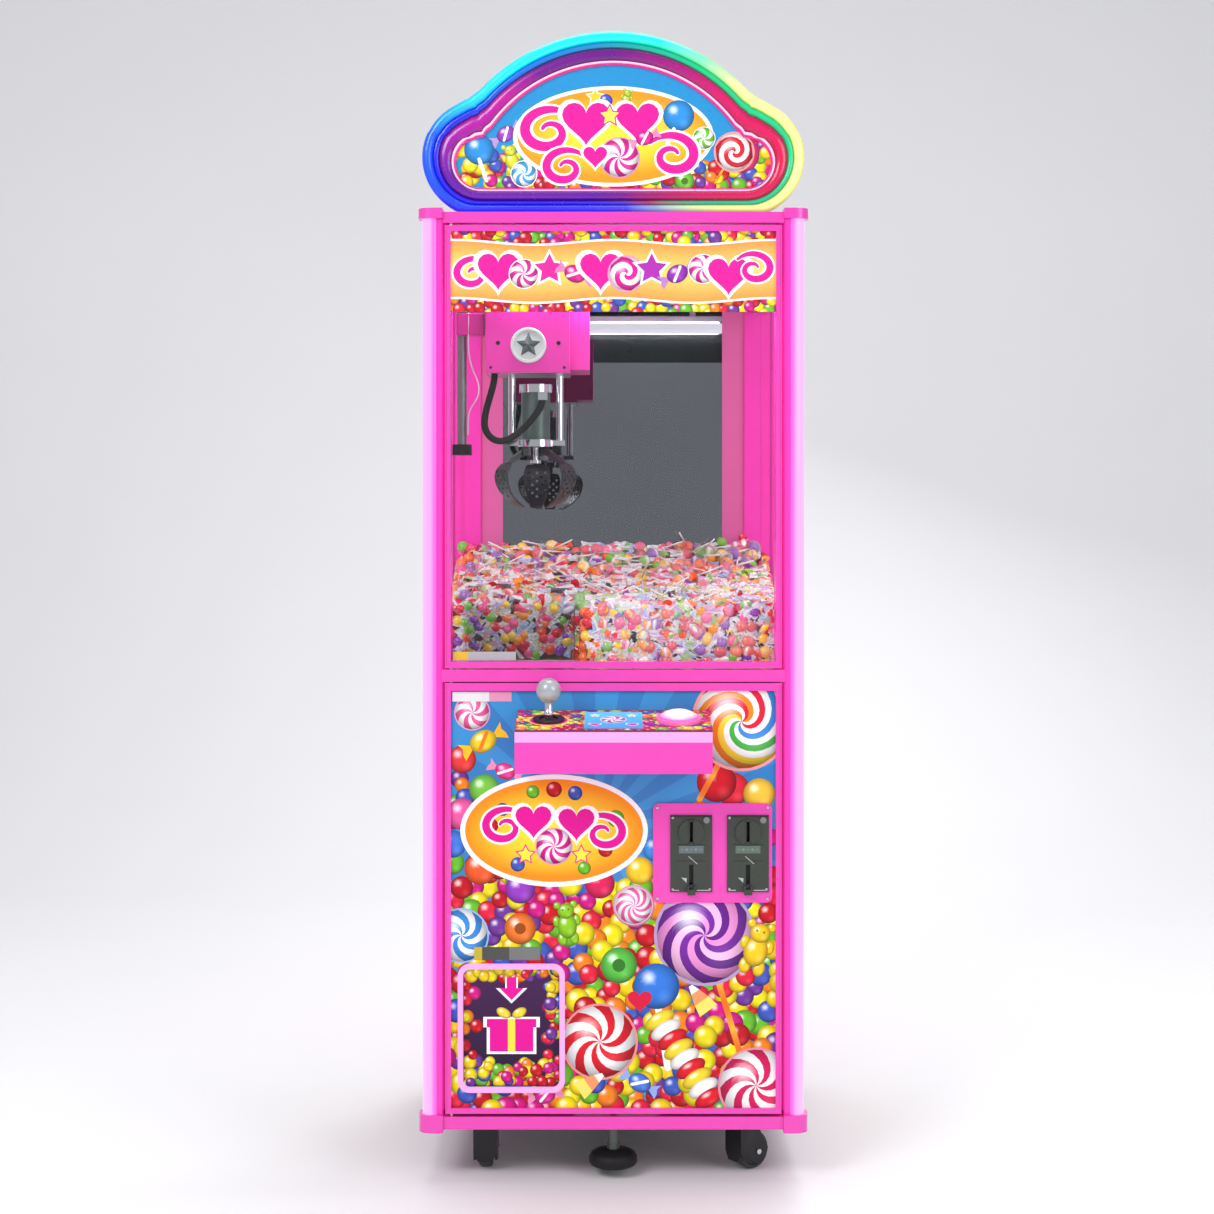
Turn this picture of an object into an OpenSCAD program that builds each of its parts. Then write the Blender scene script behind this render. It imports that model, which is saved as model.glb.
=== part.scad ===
// Upright candy claw machine on casters, with a cloud-shaped lit sign on top.
// Millimetres. +X is the machine's right as seen from the front, +Y is to the back, +Z is up, the floor is z = 0.

/* [Cabinet] */
// half width over the corner tubes
half_w = 316; // [250:1:400]
// front face plane (y)
front_y = -266; // [-300:1:-200]
// rear face plane (y)
rear_y = 380; // [300:1:420]
// depth and width of a corner post
post_s = 33; // [20:1:50]
// radius of the lit tube in each corner
tube_r = 16; // [8:0.5:20]
// underside of the cabinet
cab_z0 = 88; // [60:1:120]
// top of the bottom frame
bot_z1 = 109; // [90:1:130]
// underside of the middle frame
mid_z0 = 828; // [700:1:900]
// top of the middle frame
mid_z1 = 848; // [720:1:920]
// underside of the top frame
top_z0 = 1584; // [1400:1:1700]
// top of the cabinet
cab_z1 = 1602; // [1420:1:1720]
// how far a corner cap stands out past the tubes
cap_out = 6; // [2:1:10]

/* [Doors] */
// half width of both doors
door_w = 277.5; // [200:0.5:300]
// visible width of the door frame
door_bar = 9.5; // [6:0.5:20]
// thickness of the door frame
door_t = 24; // [15:1:40]
// x of the door hinge axis
hinge_x = -268; // [-290:1:-240]
// depth of the door hinge axis behind the front face
hinge_d = 8; // [5:1:15]

/* [Topper] */
// radius of the large middle arc
top_r = 301; // [200:0.2:320]
// height of the large arc's centre
top_cz = 1599.5; // [1550:0.1:1700]
// radius of the side lobes
lobe_r = 97; // [60:1:120]
// distance of the lobes from the middle
lobe_x = 219; // [180:0.2:260]
// height of the lobes' centres
lobe_z = 1693; // [1650:0.5:1750]

/* [Gantry] */
// y of the bridge at rest
bridge_y = -136; // [-150:1:100]
// x of the claw's axis at rest
claw_x = -132; // [-160:1:160]
// x of the carriage cover's middle
cover_x = -137.5; // [-160:0.5:160]
// underside of the carriage cover
cover_z0 = 1341; // [1250:1:1400]
// top of the carriage cover
cover_z1 = 1475; // [1400:1:1500]
// radius of the claw's solenoid
coil_r = 24.5; // [15:0.5:40]
// running clearance of every pin in its bore
run = 0.05; // [0.02:0.01:0.1]

/* [Control shelf] */
// half width of the shelf
shelf_w = 158; // [100:1:250]
// how far the shelf stands out
shelf_d = 120; // [60:5:180]
// height of the shelf's front top edge
shelf_zf = 760; // [700:1:800]
// height of the shelf's rear top edge
shelf_zr = 780; // [720:1:820]
// underside of the shelf
shelf_zb = 690; // [600:1:720]
// x of the joystick
stick_x = -105; // [-140:1:140]
// x of the push button
button_x = 106; // [-140:1:140]

/* [Prize door] */
// left edge of the opening
prize_x0 = -248; // [-260:1:-200]
// right edge of the opening
prize_x1 = -89; // [-150:1:0]
// bottom edge of the opening
prize_z0 = 158; // [130:1:300]
// top edge of the opening
prize_z1 = 353; // [200:1:500]

/* [Feet] */
// radius of a caster wheel
wheel_r = 31; // [20:1:50]
// width of a caster wheel
wheel_w = 22; // [15:1:40]
// distance from swivel to axle
trail = 22; // [10:1:40]
// radius of a levelling foot
pad_r = 40; // [20:1:60]

/* [Hidden] */
$fn = 48;
F = front_y;
B = rear_y;
Fi = F + post_s;
Bi = B - post_s;
rail_x = 281;
slope = atan((shelf_zr - shelf_zf) / shelf_d);
slope_y = F - shelf_d / 2;
slope_z = (shelf_zf + shelf_zr) / 2;
PINK = [0.96, 0.31, 0.78];

// box from two corners
module bx(a, b) {
    translate(a) cube([b[0] - a[0], b[1] - a[1], b[2] - a[2]]);
}
// rod along x
module rx(x0, x1, y, z, r) {
    translate([x0, y, z]) rotate([0, 90, 0]) cylinder(h = x1 - x0, r = r);
}
// rod along y
module ry(y0, y1, x, z, r) {
    translate([x, y0, z]) rotate([-90, 0, 0]) cylinder(h = y1 - y0, r = r);
}
// rod along z
module rz(z0, z1, x, y, r) {
    translate([x, y, z0]) cylinder(h = z1 - z0, r = r);
}
module rrect(w, h, r) {
    square([w - 2 * r, h], center = true);
    square([w, h - 2 * r], center = true);
    for (i = [-1, 1], j = [-1, 1]) translate([i * (w / 2 - r), j * (h / 2 - r)]) circle(r);
}
// plate in the xz plane between y0 and y1
module xz_plate(y0, y1) {
    translate([0, y1, 0]) rotate([90, 0, 0]) linear_extrude(y1 - y0) children();
}
module four() {
    for (i = [0, 1], j = [0, 1]) mirror([i, 0, 0]) translate([0, j * (F + B), 0]) mirror([0, j, 0]) children();
}

// ---- cabinet ----
module post_2d(inner) {
    difference() {
        union() {
            translate([-half_w + 2, F + 2]) square([half_w - 2 - 283, post_s - 2]);
            translate([-284, F + 31.5]) square([284 - inner, 13.5]);
        }
        translate([-half_w + tube_r, F + tube_r]) circle(tube_r);
        translate([-half_w - 1, F - 1]) square([tube_r + 1, tube_r + 1]);
    }
}
module corner_posts() {
    color(PINK) {
        for (i = [0, 1]) mirror([i, 0, 0]) rz_ext(112, 1591) post_2d(268);
        for (i = [0, 1]) mirror([i, 0, 0]) translate([0, F + B, 0]) mirror([0, 1, 0]) rz_ext(112, 1591) post_2d(253);
    }
}
module rz_ext(z0, z1) {
    translate([0, 0, z0]) linear_extrude(z1 - z0) children();
}
module corner_light_tubes() {
    color([1, 0.85, 1]) four() rz(112, 1591, -half_w + tube_r, F + tube_r, tube_r - 0.1);
}
module cap_2d() {
    intersection() {
        translate([-half_w - cap_out + 22, F - cap_out + 22]) circle(22);
        translate([-half_w - cap_out, F - cap_out]) square([41, 41]);
    }
    translate([-half_w - cap_out + 22, F - cap_out]) square([41 - 22, 41]);
    translate([-half_w - cap_out, F - cap_out + 22]) square([41, 41 - 22]);
}
module corner_caps() {
    color(PINK) four() {
        rz_ext(83, 112) cap_2d();
        rz_ext(1591, 1608) cap_2d();
    }
}
// door hinge pin holes on the left of the front rails
module pin_holes() {
    rz(60, 1700, hinge_x, F + hinge_d, 3 + run);
}
module cross_rails() {
    color(PINK) difference() {
        union() {
            for (z = [[cab_z0, bot_z1], [top_z0, cab_z1]]) {
                bx([-rail_x, F, z[0]], [rail_x, Fi, z[1]]);
                bx([-rail_x, Bi, z[0]], [rail_x, B, z[1]]);
                for (i = [0, 1]) mirror([i, 0, 0]) bx([rail_x, F - cap_out + 41, z[0]], [half_w - 2, B + cap_out - 41, z[1]]);
            }
            bx([-283, F, mid_z0], [283, F + 31.5, mid_z1]);
            bx([-253, B - 45, mid_z0], [253, B - 31.5, mid_z1]);
            for (i = [0, 1]) mirror([i, 0, 0]) bx([288, Fi, mid_z0], [half_w - 2, Bi, mid_z1]);
        }
        pin_holes();
        for (i = [0, 1]) mirror([i, 0, 0]) {
            bx([-284.1, F + 31.4, top_z0 - 1], [-267.9, F + 45.1, 1591.1]);
            bx([-284.1, B - 45.1, top_z0 - 1], [-252.9, B - 31.4, 1591.1]);
        }
    }
}
module base_plate() {
    color([0.12, 0.12, 0.13]) {
        difference() {
            bx([-rail_x, Fi, cab_z0], [rail_x, Bi, 94]);
            for (y = [F + 50, B - 50]) rz(80, 100, 0, y, 6 + run);
            for (i = [-1, 1], j = [0, 1]) rz(80, 100, i * 215, j ? B - 75 : F + 75, 6);
        }
        for (i = [-1, 1], j = [0, 1]) translate([i * 215, j ? B - 75 : F + 75, 0]) difference() {
            union() {
                bx([-32, -32, 85], [32, 32, 88]);
                rz(80, 85, 0, 0, 21);
            }
            rz(79, 89, 0, 0, 5 + run);
        }
        for (y = [F + 50, B - 50]) difference() {
            translate([0, y, 94]) cylinder(h = 10, r = 12, $fn = 6);
            rz(90, 110, 0, y, 6 + run);
        }
    }
}
module side_panels() {
    color(PINK) for (i = [0, 1]) mirror([i, 0, 0]) {
        bx([302, Fi, 112], [308, Bi, mid_z0]);
        bx([302, Fi + 2, bot_z1], [308, Bi - 2, 112]);
    }
}
module side_windows() {
    color([0.8, 0.9, 0.95, 0.3]) for (i = [0, 1]) mirror([i, 0, 0]) bx([303, Fi, mid_z1], [308, Bi, top_z0]);
}
module rear_panel() {
    color(PINK) difference() {
        union() {
            bx([-283, B - 12, 112], [283, B - 6, mid_z0]);
            bx([-281, B - 12, bot_z1], [281, B - 6, 112]);
            bx([-283, B - 12, mid_z0], [283, B - 6, mid_z1]);
            bx([-283, B - 12, mid_z1], [283, B - 6, top_z0]);
        }
        for (k = [0:7]) bx([-120, B - 20, 250 + k * 22], [120, B, 258 + k * 22]);
        bx([-232, B - 20, 140], [-188, B, 196]);
    }
}
module back_mirror() {
    color([0.85, 0.88, 0.9]) bx([-252.8, B - 36, 850], [252.8, B - 32, 1570]);
}
module roof_panel() {
    color(PINK) bx([-rail_x, Fi, 1597], [rail_x, Bi, cab_z1]);
}
module prize_deck() {
    color([0.9, 0.9, 0.92]) difference() {
        bx([-302, Fi + 12.1, 846], [302, B - 45.1, 850]);
        bx([-262, F + 30, 840], [-66, F + 200, 860]);
        for (i = [0, 1]) mirror([i, 0, 0]) bx([287.9, F, 840], [330, B, 848]);
    }
}
module chute_walls() {
    color([0.85, 0.92, 0.95, 0.35]) {
        bx([-66, Fi + 12.1, 850], [-62, F + 200, 947]);
        bx([-266, F + 200, 850], [-62, F + 204, 947]);
        bx([-266, Fi + 12.1, 850], [-262, F + 200, 947]);
    }
}
module prize_duct() {
    color([0.16, 0.15, 0.18]) {
        for (x = [-262, -68]) bx([x, F + 35, 148], [x + 2, F + 202, 846]);
        bx([-260, F + 200, 148], [-68, F + 202, 846]);
        bx([-260, F + 35, 372], [-68, F + 37, 846]);
        bx([-260, F + 35, 148], [-68, F + 200, 151]);
        for (x = [-262, -80]) bx([x, F + 60, 94], [x + 14, F + 180, 148]);
    }
}
// outline of the sweets' heap from front to back
module heap_2d(y0) {
    yb = B - 45.5;
    polygon(y0 < -100
        ? [[y0, 850], [yb, 850], [yb, 1044], [240, 992], [120, 972], [-60, 956], [y0, 945]]
        : [[y0, 850], [yb, 850], [yb, 1044], [240, 992], [120, 972], [y0, 956]]);
}
module candy_fill() {
    color([0.95, 0.5, 0.3]) {
        x_ext(-61.5, 300) heap_2d(Fi + 12.5);
        x_ext(-300, -62.5) heap_2d(F + 204.5);
    }
}
module led_light_bar() {
    color([1, 1, 1]) {
        rx(-233, 233, F + 44, 1510, 12.5);
        bx([-240, F + 36, 1524], [240, F + 54, 1536]);
        for (x = [-236, 233]) bx([x, F + 33, 1499], [x + 3, F + 55, 1525]);
        for (x = [-180, 170]) bx([x, F + 40, 1536], [x + 12, F + 50, 1597]);
    }
}
module gantry_side_rails() {
    color([0.72, 0.73, 0.75]) for (i = [0, 1]) mirror([i, 0, 0]) {
        bx([292, Fi + 1, 1490], [296, Bi - 8, 1540]);
        bx([272, F + 45.1, 1490], [292, B - 45.1, 1494]);
        for (y = [-200, 40, 280]) bx([292, y, 1540], [296, y + 40, top_z0]);
    }
}

// ---- topper ----
module cloud(d) {
    intersection() {
        union() {
            translate([0, top_cz]) intersection() {
                circle(top_r - d, $fn = 96);
                union() {
                    translate([-400, lobe_z - top_cz]) square([800, 400]);
                    translate([-lobe_x, -100]) square([2 * lobe_x, 400]);
                }
            }
            for (i = [-1, 1]) translate([i * lobe_x, lobe_z]) circle(lobe_r - d, $fn = 64);
        }
        translate([-400, cab_z1 + 0.72 * d]) square([800, 400]);
    }
}
module topper_box() {
    color([0.3, 0.25, 0.9]) difference() {
        xz_plate(F + 26, F + 90) translate([0, 1.5]) cloud(4);
        xz_plate(F + 25, F + 84) translate([0, 1.5]) cloud(10);
    }
    color([0.3, 0.25, 0.9]) bx([-200, F + 36, cab_z1], [200, F + 80, cab_z1 + 4.05]);
}
module ring(d0, d1, y0, y1) {
    difference() {
        xz_plate(y0, y1) translate([0, 1.5]) cloud(d0);
        xz_plate(y0 - 1, y1 + 1) translate([0, 1.5]) cloud(d1);
    }
}
module topper_neon_ring() {
    color([0.1, 0.8, 1]) {
        ring(0, 17, F + 14, F + 26);
        ring(17, 32, F + 16, F + 26);
        ring(32, 52, F + 13, F + 26);
    }
}
module topper_face() {
    color([1, 0.8, 0.2]) xz_plate(F + 19, F + 23) translate([0, 1.5]) cloud(52);
}

// ---- inside the base ----
module coin_box() {
    color([0.55, 0.57, 0.6]) difference() {
        bx([80, -195, 94], [250, 0, 300]);
        bx([82, -193, 96], [248, -2, 301]);
    }
}
module power_inlet() {
    color([0.05, 0.05, 0.05]) difference() {
        union() {
            bx([-232, B - 30, 140], [-188, B - 3, 196]);
            bx([-236, B - 6, 136], [-184, B - 3, 200]);
        }
        bx([-226, B - 16, 144], [-194, B, 168]);
        bx([-222.5, B - 16, 173.5], [-197.5, B, 190.5]);
    }
    color([0.8, 0.8, 0.8]) for (x = [-218, -210, -202]) bx([x - 1, B - 16, 152], [x + 1, B - 7, 157]);
}
module power_rocker() {
    color([0.8, 0.05, 0.05]) translate([0, B - 9, 182]) rotate([-10, 0, 0]) intersection() {
        rx(-222, -198, 0, 0, 7.8);
        union() {
            rotate([12, 0, 0]) bx([-222, -3, -7.7], [-198, 6.5, 0.3]);
            rotate([-12, 0, 0]) bx([-222, -3, -0.3], [-198, 6.5, 7.7]);
        }
    }
}

// ---- upper door ----
module door_frame(z0, z1, top_bar, bot_bar) {
    difference() {
        union() {
            bx([-door_w, F, z0], [door_w, F + door_t, z1]);
            rz(z0 - 10, z1 + 10, hinge_x, F + hinge_d, 3);
        }
        bx([-door_w + door_bar, F - 1, z0 + bot_bar], [door_w - door_bar, F + door_t + 1, z1 - top_bar]);
        // grooves along the frame's face
        for (i = [0, 1]) mirror([i, 0, 0]) bx([door_w - 3.2, F - 1, z0 + 3], [door_w - 2.2, F + 1, z1 - 3]);
    }
}
module upper_door_frame() {
    color(PINK) door_frame(850.5, 1580, door_bar, 10.5);
}
module upper_door_glass() {
    color([0.8, 0.9, 0.95, 0.25]) bx([-268, F + 10, 861], [268, F + 15, 1570.5]);
}
module header_sign() {
    color([1, 0.6, 0.2]) bx([-268, F + 6, 1438], [268, F + 9.5, 1570.5]);
}

// ---- lower door ----
module lower_door_frame() {
    color(PINK) door_frame(114, 826, 13, 9);
}
module lower_door_panel() {
    color([0.2, 0.6, 0.9]) {
        difference() {
            bx([-268, F + 6, 123], [268, F + 9, 813]);
            bx([prize_x0, F, prize_z0], [prize_x1, F + 20, prize_z1]);
            for (x = [128.5, 222]) bx([x - 28, F, 492], [x + 28, F + 20, 600]);
        }
        for (x = [-262, -81]) difference() {
            bx([x, F + 9, 347], [x + 6, F + 18, 362]);
            rx(x - 1, x + 7, F + 12, 355, 2 + run);
        }
    }
}
module wedge_2d(o, front) {
    polygon([[F + 6, shelf_zb + o], [F - shelf_d + front, shelf_zb + o], [F - shelf_d + front, shelf_zf - 3.1 - o + front / 6],
        [F + 6, shelf_zr + 1 - 3.1 - o]]);
}
module on_slope(x) {
    translate([x, slope_y, slope_z]) rotate([slope, 0, 0]) children();
}
module x_ext(x0, x1) {
    translate([x0, 0, 0]) rotate([90, 0, 90]) linear_extrude(x1 - x0) children();
}
module control_shelf() {
    color(PINK) difference() {
        x_ext(-shelf_w, shelf_w) wedge_2d(0, 0);
        x_ext(-shelf_w + 3, shelf_w - 3) wedge_2d(3, 6);
        bx([-shelf_w - 1, F - shelf_d - 1, shelf_zf - 20], [shelf_w + 1, F - shelf_d + 3, shelf_zf - 3.1]);
        on_slope(stick_x) translate([0, 0, -20]) cylinder(h = 40, r = 22.5);
        on_slope(button_x) translate([0, 0, -20]) cylinder(h = 40, r = 29.1);
    }
}
module shelf_light_strip() {
    color([1, 0.9, 1]) bx([-shelf_w, F - shelf_d, shelf_zf - 19.9], [shelf_w, F - shelf_d + 2.9, shelf_zf - 3.2]);
}
module shelf_top_plate() {
    color([1, 0.7, 0.3]) difference() {
        x_ext(-shelf_w, shelf_w) polygon([[F + 6, shelf_zr + 1 - 3], [F - shelf_d, shelf_zf - 3], [F - shelf_d, shelf_zf], [F + 6, shelf_zr + 1]]);
        on_slope(stick_x) translate([0, 0, -20]) cylinder(h = 40, r = 19.2);
        on_slope(button_x) translate([0, 0, -20]) cylinder(h = 40, r = 29.1);
    }
}
module coin_plate() {
    color(PINK) difference() {
        xz_plate(F + 2, F + 6) translate([163.75, 545]) rrect(196.5, 164, 10);
        for (x = [128.5, 222]) {
            bx([x - 28, F, 492], [x + 28, F + 20, 600]);
            ry(F + 1, F + 7, x + 25, 600, 5.4);
        }
        for (i = [-1, 1], j = [-1, 1]) ry(F + 1, F + 3, 163.75 + i * 91, 545 + j * 75, 3);
    }
}
module mech(x) {
    difference() {
        union() {
            bx([x - 34.5, F - 1, 481], [x + 34.5, F + 2, 608]);
            bx([x - 27.5, F + 2, 492.5], [x + 27.5, F + 58, 599.5]);
            ry(F - 4, F - 1, x, 580, 21);
            bx([x - 6.5, F - 10, 477], [x + 6.5, F - 1, 486]);
            for (i = [-6.5, 4]) bx([x + i, F - 10, 486], [x + i + 2.5, F - 1, 492]);
        }
        bx([x - 2.5, F - 10, 564], [x + 2.5, F + 30, 597]);
        bx([x - 3.5, F - 2, 492.5], [x + 3.5, F + 14, 526]);
        bx([x - 3.5, F - 2, 486], [x + 3.5, F - 0.2, 492.6]);
        for (z = [528, 555]) bx([x - 24, F - 2, z + 4], [x + 24, F, z + 5]);
        ry(F - 2, F + 8, x + 25, 600, 5.2);
    }
}
module coin_mechs() {
    color([0.06, 0.06, 0.07]) for (x = [128.5, 222]) mech(x);
}
module reject(x) {
    color([0.75, 0.76, 0.78]) ry(F - 5, F + 2.8, x + 25, 600, 5.15);
}
module coin_reject_left() reject(128.5);
module coin_reject_right() reject(222);
module joystick_base() {
    color([0.05, 0.05, 0.05]) on_slope(stick_x) {
        difference() {
            cylinder(h = 4, r = 26);
            translate([0, 0, -1]) cylinder(h = 6, r = 15.8);
        }
        for (i = [-1, 1]) difference() {
            translate([i * 28 - 2, -9, -34]) cube([4, 18, 27]);
            translate([-40, 0, -20]) rotate([0, 90, 0]) cylinder(h = 80, r = 2.5 + run);
        }
    }
}
module joystick_gimbal() {
    color([0.6, 0.6, 0.62]) on_slope(stick_x) translate([0, 0, -20]) {
        difference() {
            translate([0, 0, -4]) cylinder(h = 8, r = 19);
            translate([0, 0, -5]) cylinder(h = 10, r = 14);
            translate([0, -30, 0]) rotate([-90, 0, 0]) cylinder(h = 60, r = 2.5 + run);
        }
        for (i = [0, 1]) mirror([i, 0, 0]) translate([17, 0, 0]) rotate([0, 90, 0]) cylinder(h = 13, r = 2.5);
    }
}
module joystick_stick() {
    on_slope(stick_x) {
        color([0.7, 0.72, 0.75]) {
            translate([0, 0, -36]) cylinder(h = 80, r = 5);
            translate([0, 0, 6]) cylinder(h = 27, r = 7.5);
            translate([0, 0, -20]) sphere(9);
            translate([0, -18.5, -20]) rotate([-90, 0, 0]) cylinder(h = 37, r = 2.5);
            translate([0, 0, 50]) sphere(20.3);
        }
        color([0.05, 0.05, 0.05]) translate([0, 0, -20]) difference() {
            intersection() {
                sphere(25);
                translate([0, 0, 15]) cylinder(h = 12, r = 22);
            }
            sphere(22.5);
        }
    }
}
module button_housing() {
    color([1, 0.75, 0.85]) on_slope(button_x) {
        difference() {
            cylinder(h = 6, r = 37);
            translate([0, 0, 1.5]) cylinder(h = 6, r = 31.3);
            translate([0, 0, -1]) cylinder(h = 6, r = 26.5);
        }
        difference() {
            translate([0, 0, -34]) cylinder(h = 34.5, r = 29);
            translate([0, 0, -33]) cylinder(h = 36, r = 26.5);
        }
    }
}
module push_button() {
    color([1, 0.95, 0.7]) on_slope(button_x) {
        translate([0, 0, -18]) cylinder(h = 24, r = 26.4);
        translate([0, 0, 5.2]) cylinder(h = 3, r = 31);
        intersection() {
            translate([0, 0, 8.2 + 10 - 53]) sphere(53, $fn = 96);
            translate([0, 0, 8]) cylinder(h = 20, r = 31);
        }
    }
}
module prize_door_trim() {
    color([1, 0.8, 0.95]) difference() {
        xz_plate(F - 4, F + 6) translate([(prize_x0 + prize_x1) / 2, (prize_z0 + prize_z1) / 2])
            rrect(prize_x1 - prize_x0 + 18, prize_z1 - prize_z0 + 18, 20);
        xz_plate(F - 5, F + 7) translate([(prize_x0 + prize_x1) / 2, (prize_z0 + prize_z1) / 2])
            rrect(prize_x1 - prize_x0, prize_z1 - prize_z0, 12);
    }
}
module prize_flap() {
    color([0.1, 0.09, 0.12]) {
        bx([-252, F + 10, 154], [-85, F + 13.5, 355]);
        rx(-258, -79, F + 12, 355, 2);
    }
}

// ---- gantry ----
module bridge_beam() {
    color([0.72, 0.73, 0.75]) {
        for (j = [-1, 1]) bx([-264, bridge_y + 40 * j - 7, 1496], [264, bridge_y + 40 * j + 7, 1510]);
        for (i = [0, 1]) mirror([i, 0, 0]) {
            bx([264, bridge_y - 70, 1483], [268, bridge_y + 70, 1524]);
            for (j = [-1, 1]) {
                rx(272.5, 288, bridge_y + 55 * j, 1504.1, 10);
                rx(268, 272.5, bridge_y + 55 * j, 1504.1, 4);
            }
        }
        bx([-264, bridge_y - 42, 1478], [-238, bridge_y - 18, 1496]);
    }
    color([0.45, 0.46, 0.48]) rz(1222, 1478, -256, bridge_y - 30, 8);
    color([0.05, 0.05, 0.05]) bx([-272, bridge_y - 46, 1204], [-240, bridge_y - 14, 1222]);
}
module carriage_chassis() {
    color([0.7, 0.71, 0.73]) {
        for (j = [-1, 1]) difference() {
            bx([cover_x - 50, bridge_y + 40 * j - 13, 1480], [cover_x + 50, bridge_y + 40 * j + 13, 1523]);
            bx([cover_x - 51, bridge_y + 40 * j - 7.1, 1495.9], [cover_x + 51, bridge_y + 40 * j + 7.1, 1510.1]);
        }
        bx([-212, bridge_y - 68, cover_z1], [-75, bridge_y + 68, 1480]);
        difference() {
            bx([-211.9, bridge_y - 67.9, cover_z0], [-75.1, bridge_y + 67.9, cover_z0 + 5]);
            for (i = [-1, 1]) rz(1300, 1400, claw_x + 41 * i, bridge_y, 6 + run);
        }
        for (i = [0, 1], j = [-1, 1]) bx([i ? -87 : -210, bridge_y + 62 * j - 5, cover_z0 + 5], [i ? -77 : -200, bridge_y + 62 * j + 5, cover_z1]);
        rx(-165, -100, bridge_y + 30, 1420, 20);
    }
}
module carriage_cover() {
    color([0.93, 0.3, 0.75]) {
        difference() {
            bx([-214, bridge_y - 70, cover_z0], [-73, bridge_y + 70, cover_z1]);
            bx([-212, bridge_y - 68, cover_z0 - 1], [-75, bridge_y + 68, cover_z1 + 1]);
        }
        for (z = [[1456, 1459], [1466, 1469]]) bx([-215.5, bridge_y - 72, z[0]], [-73, bridge_y - 70, z[1]]);
        bx([-73, bridge_y - 56, 1346], [-40, bridge_y + 70, 1473]);
    }
}
hose_path = [[-200, -178, 1340.8], [-201, -179, 1330], [-203, -181, 1319], [-206, -183, 1308], [-209, -185, 1297], [-212, -188, 1286],
    [-214.5, -190, 1275], [-216, -192, 1264], [-216, -194, 1253], [-213, -195, 1243], [-207, -196, 1234.5], [-199, -196, 1229],
    [-190, -196, 1227], [-181, -195, 1228.5], [-172, -193, 1232.5], [-163, -191, 1238.5], [-154, -188, 1246], [-145.5, -185, 1254.5],
    [-137, -181, 1264], [-129.5, -177, 1274], [-123, -172.5, 1285], [-119, -169.5, 1296.8]];
function unit(v) = v / norm(v);
function tang(k) = k == 0 ? [0, 0, -1] : k == len(hose_path) - 1 ? [0, 0, 1] : unit(hose_path[k + 1] - hose_path[k - 1]);
module control_hose() {
    n = 10;
    r = 6;
    m = len(hose_path);
    pts = [for (k = [0:m - 1], i = [0:n - 1]) let (t = tang(k), u = unit(cross(t, abs(t[1]) > 0.9 ? [1, 0, 0] : [0, 1, 0])), v = cross(t, u))
        hose_path[k] + r * (cos(i * 360 / n) * u + sin(i * 360 / n) * v)];
    color([0.05, 0.05, 0.05]) polyhedron(points = pts, faces = concat(
        [[for (i = [0:n - 1]) i]],
        [for (k = [0:m - 2], i = [0:n - 1]) [k * n + i, (k + 1) * n + i, k * n + (i + 1) % n]],
        [for (k = [0:m - 2], i = [0:n - 1]) [k * n + (i + 1) % n, (k + 1) * n + i, (k + 1) * n + (i + 1) % n]],
        [[for (i = [n - 1:-1:0]) (m - 1) * n + i]]));
}

// ---- claw ----
module at_claw() {
    translate([claw_x, bridge_y, 0]) children();
}
module claw_coil() {
    at_claw() {
        color([0.2, 0.24, 0.22]) difference() {
            rz(1231, 1311, 0, 0, coil_r);
            rz(1220, 1320, 0, 0, 4 + run);
        }
        color([0.8, 0.8, 0.82]) {
            difference() {
                rz(1311, 1325, 0, 0, 28);
                rz(1300, 1330, 0, 0, 4 + run);
            }
            difference() {
                union() {
                    rz(1219, 1231, 0, 0, 30);
                    bx([-50, -9, 1221], [50, 9, 1230]);
                }
                rz(1200, 1240, 0, 0, 4 + run);
            }
            for (i = [-1, 1]) rz(1230, 1468, 41 * i, 0, 6);
            bx([5, -42, 1297], [21, -15, 1311]);
            for (a = [210, 90, -30]) rotate(a) {
                for (j = [-1, 1]) bx([19, j * 7.5 - 1.5, 1204], [29, j * 7.5 + 1.5, 1219]);
                ry(-9, 9, 24, 1210, 2.5);
            }
        }
    }
}
module claw_plunger() {
    color([0.8, 0.8, 0.82]) at_claw() {
        rz(1195, 1322, 0, 0, 4);
        rz(1191, 1196, 0, 0, 9);
    }
}
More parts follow.
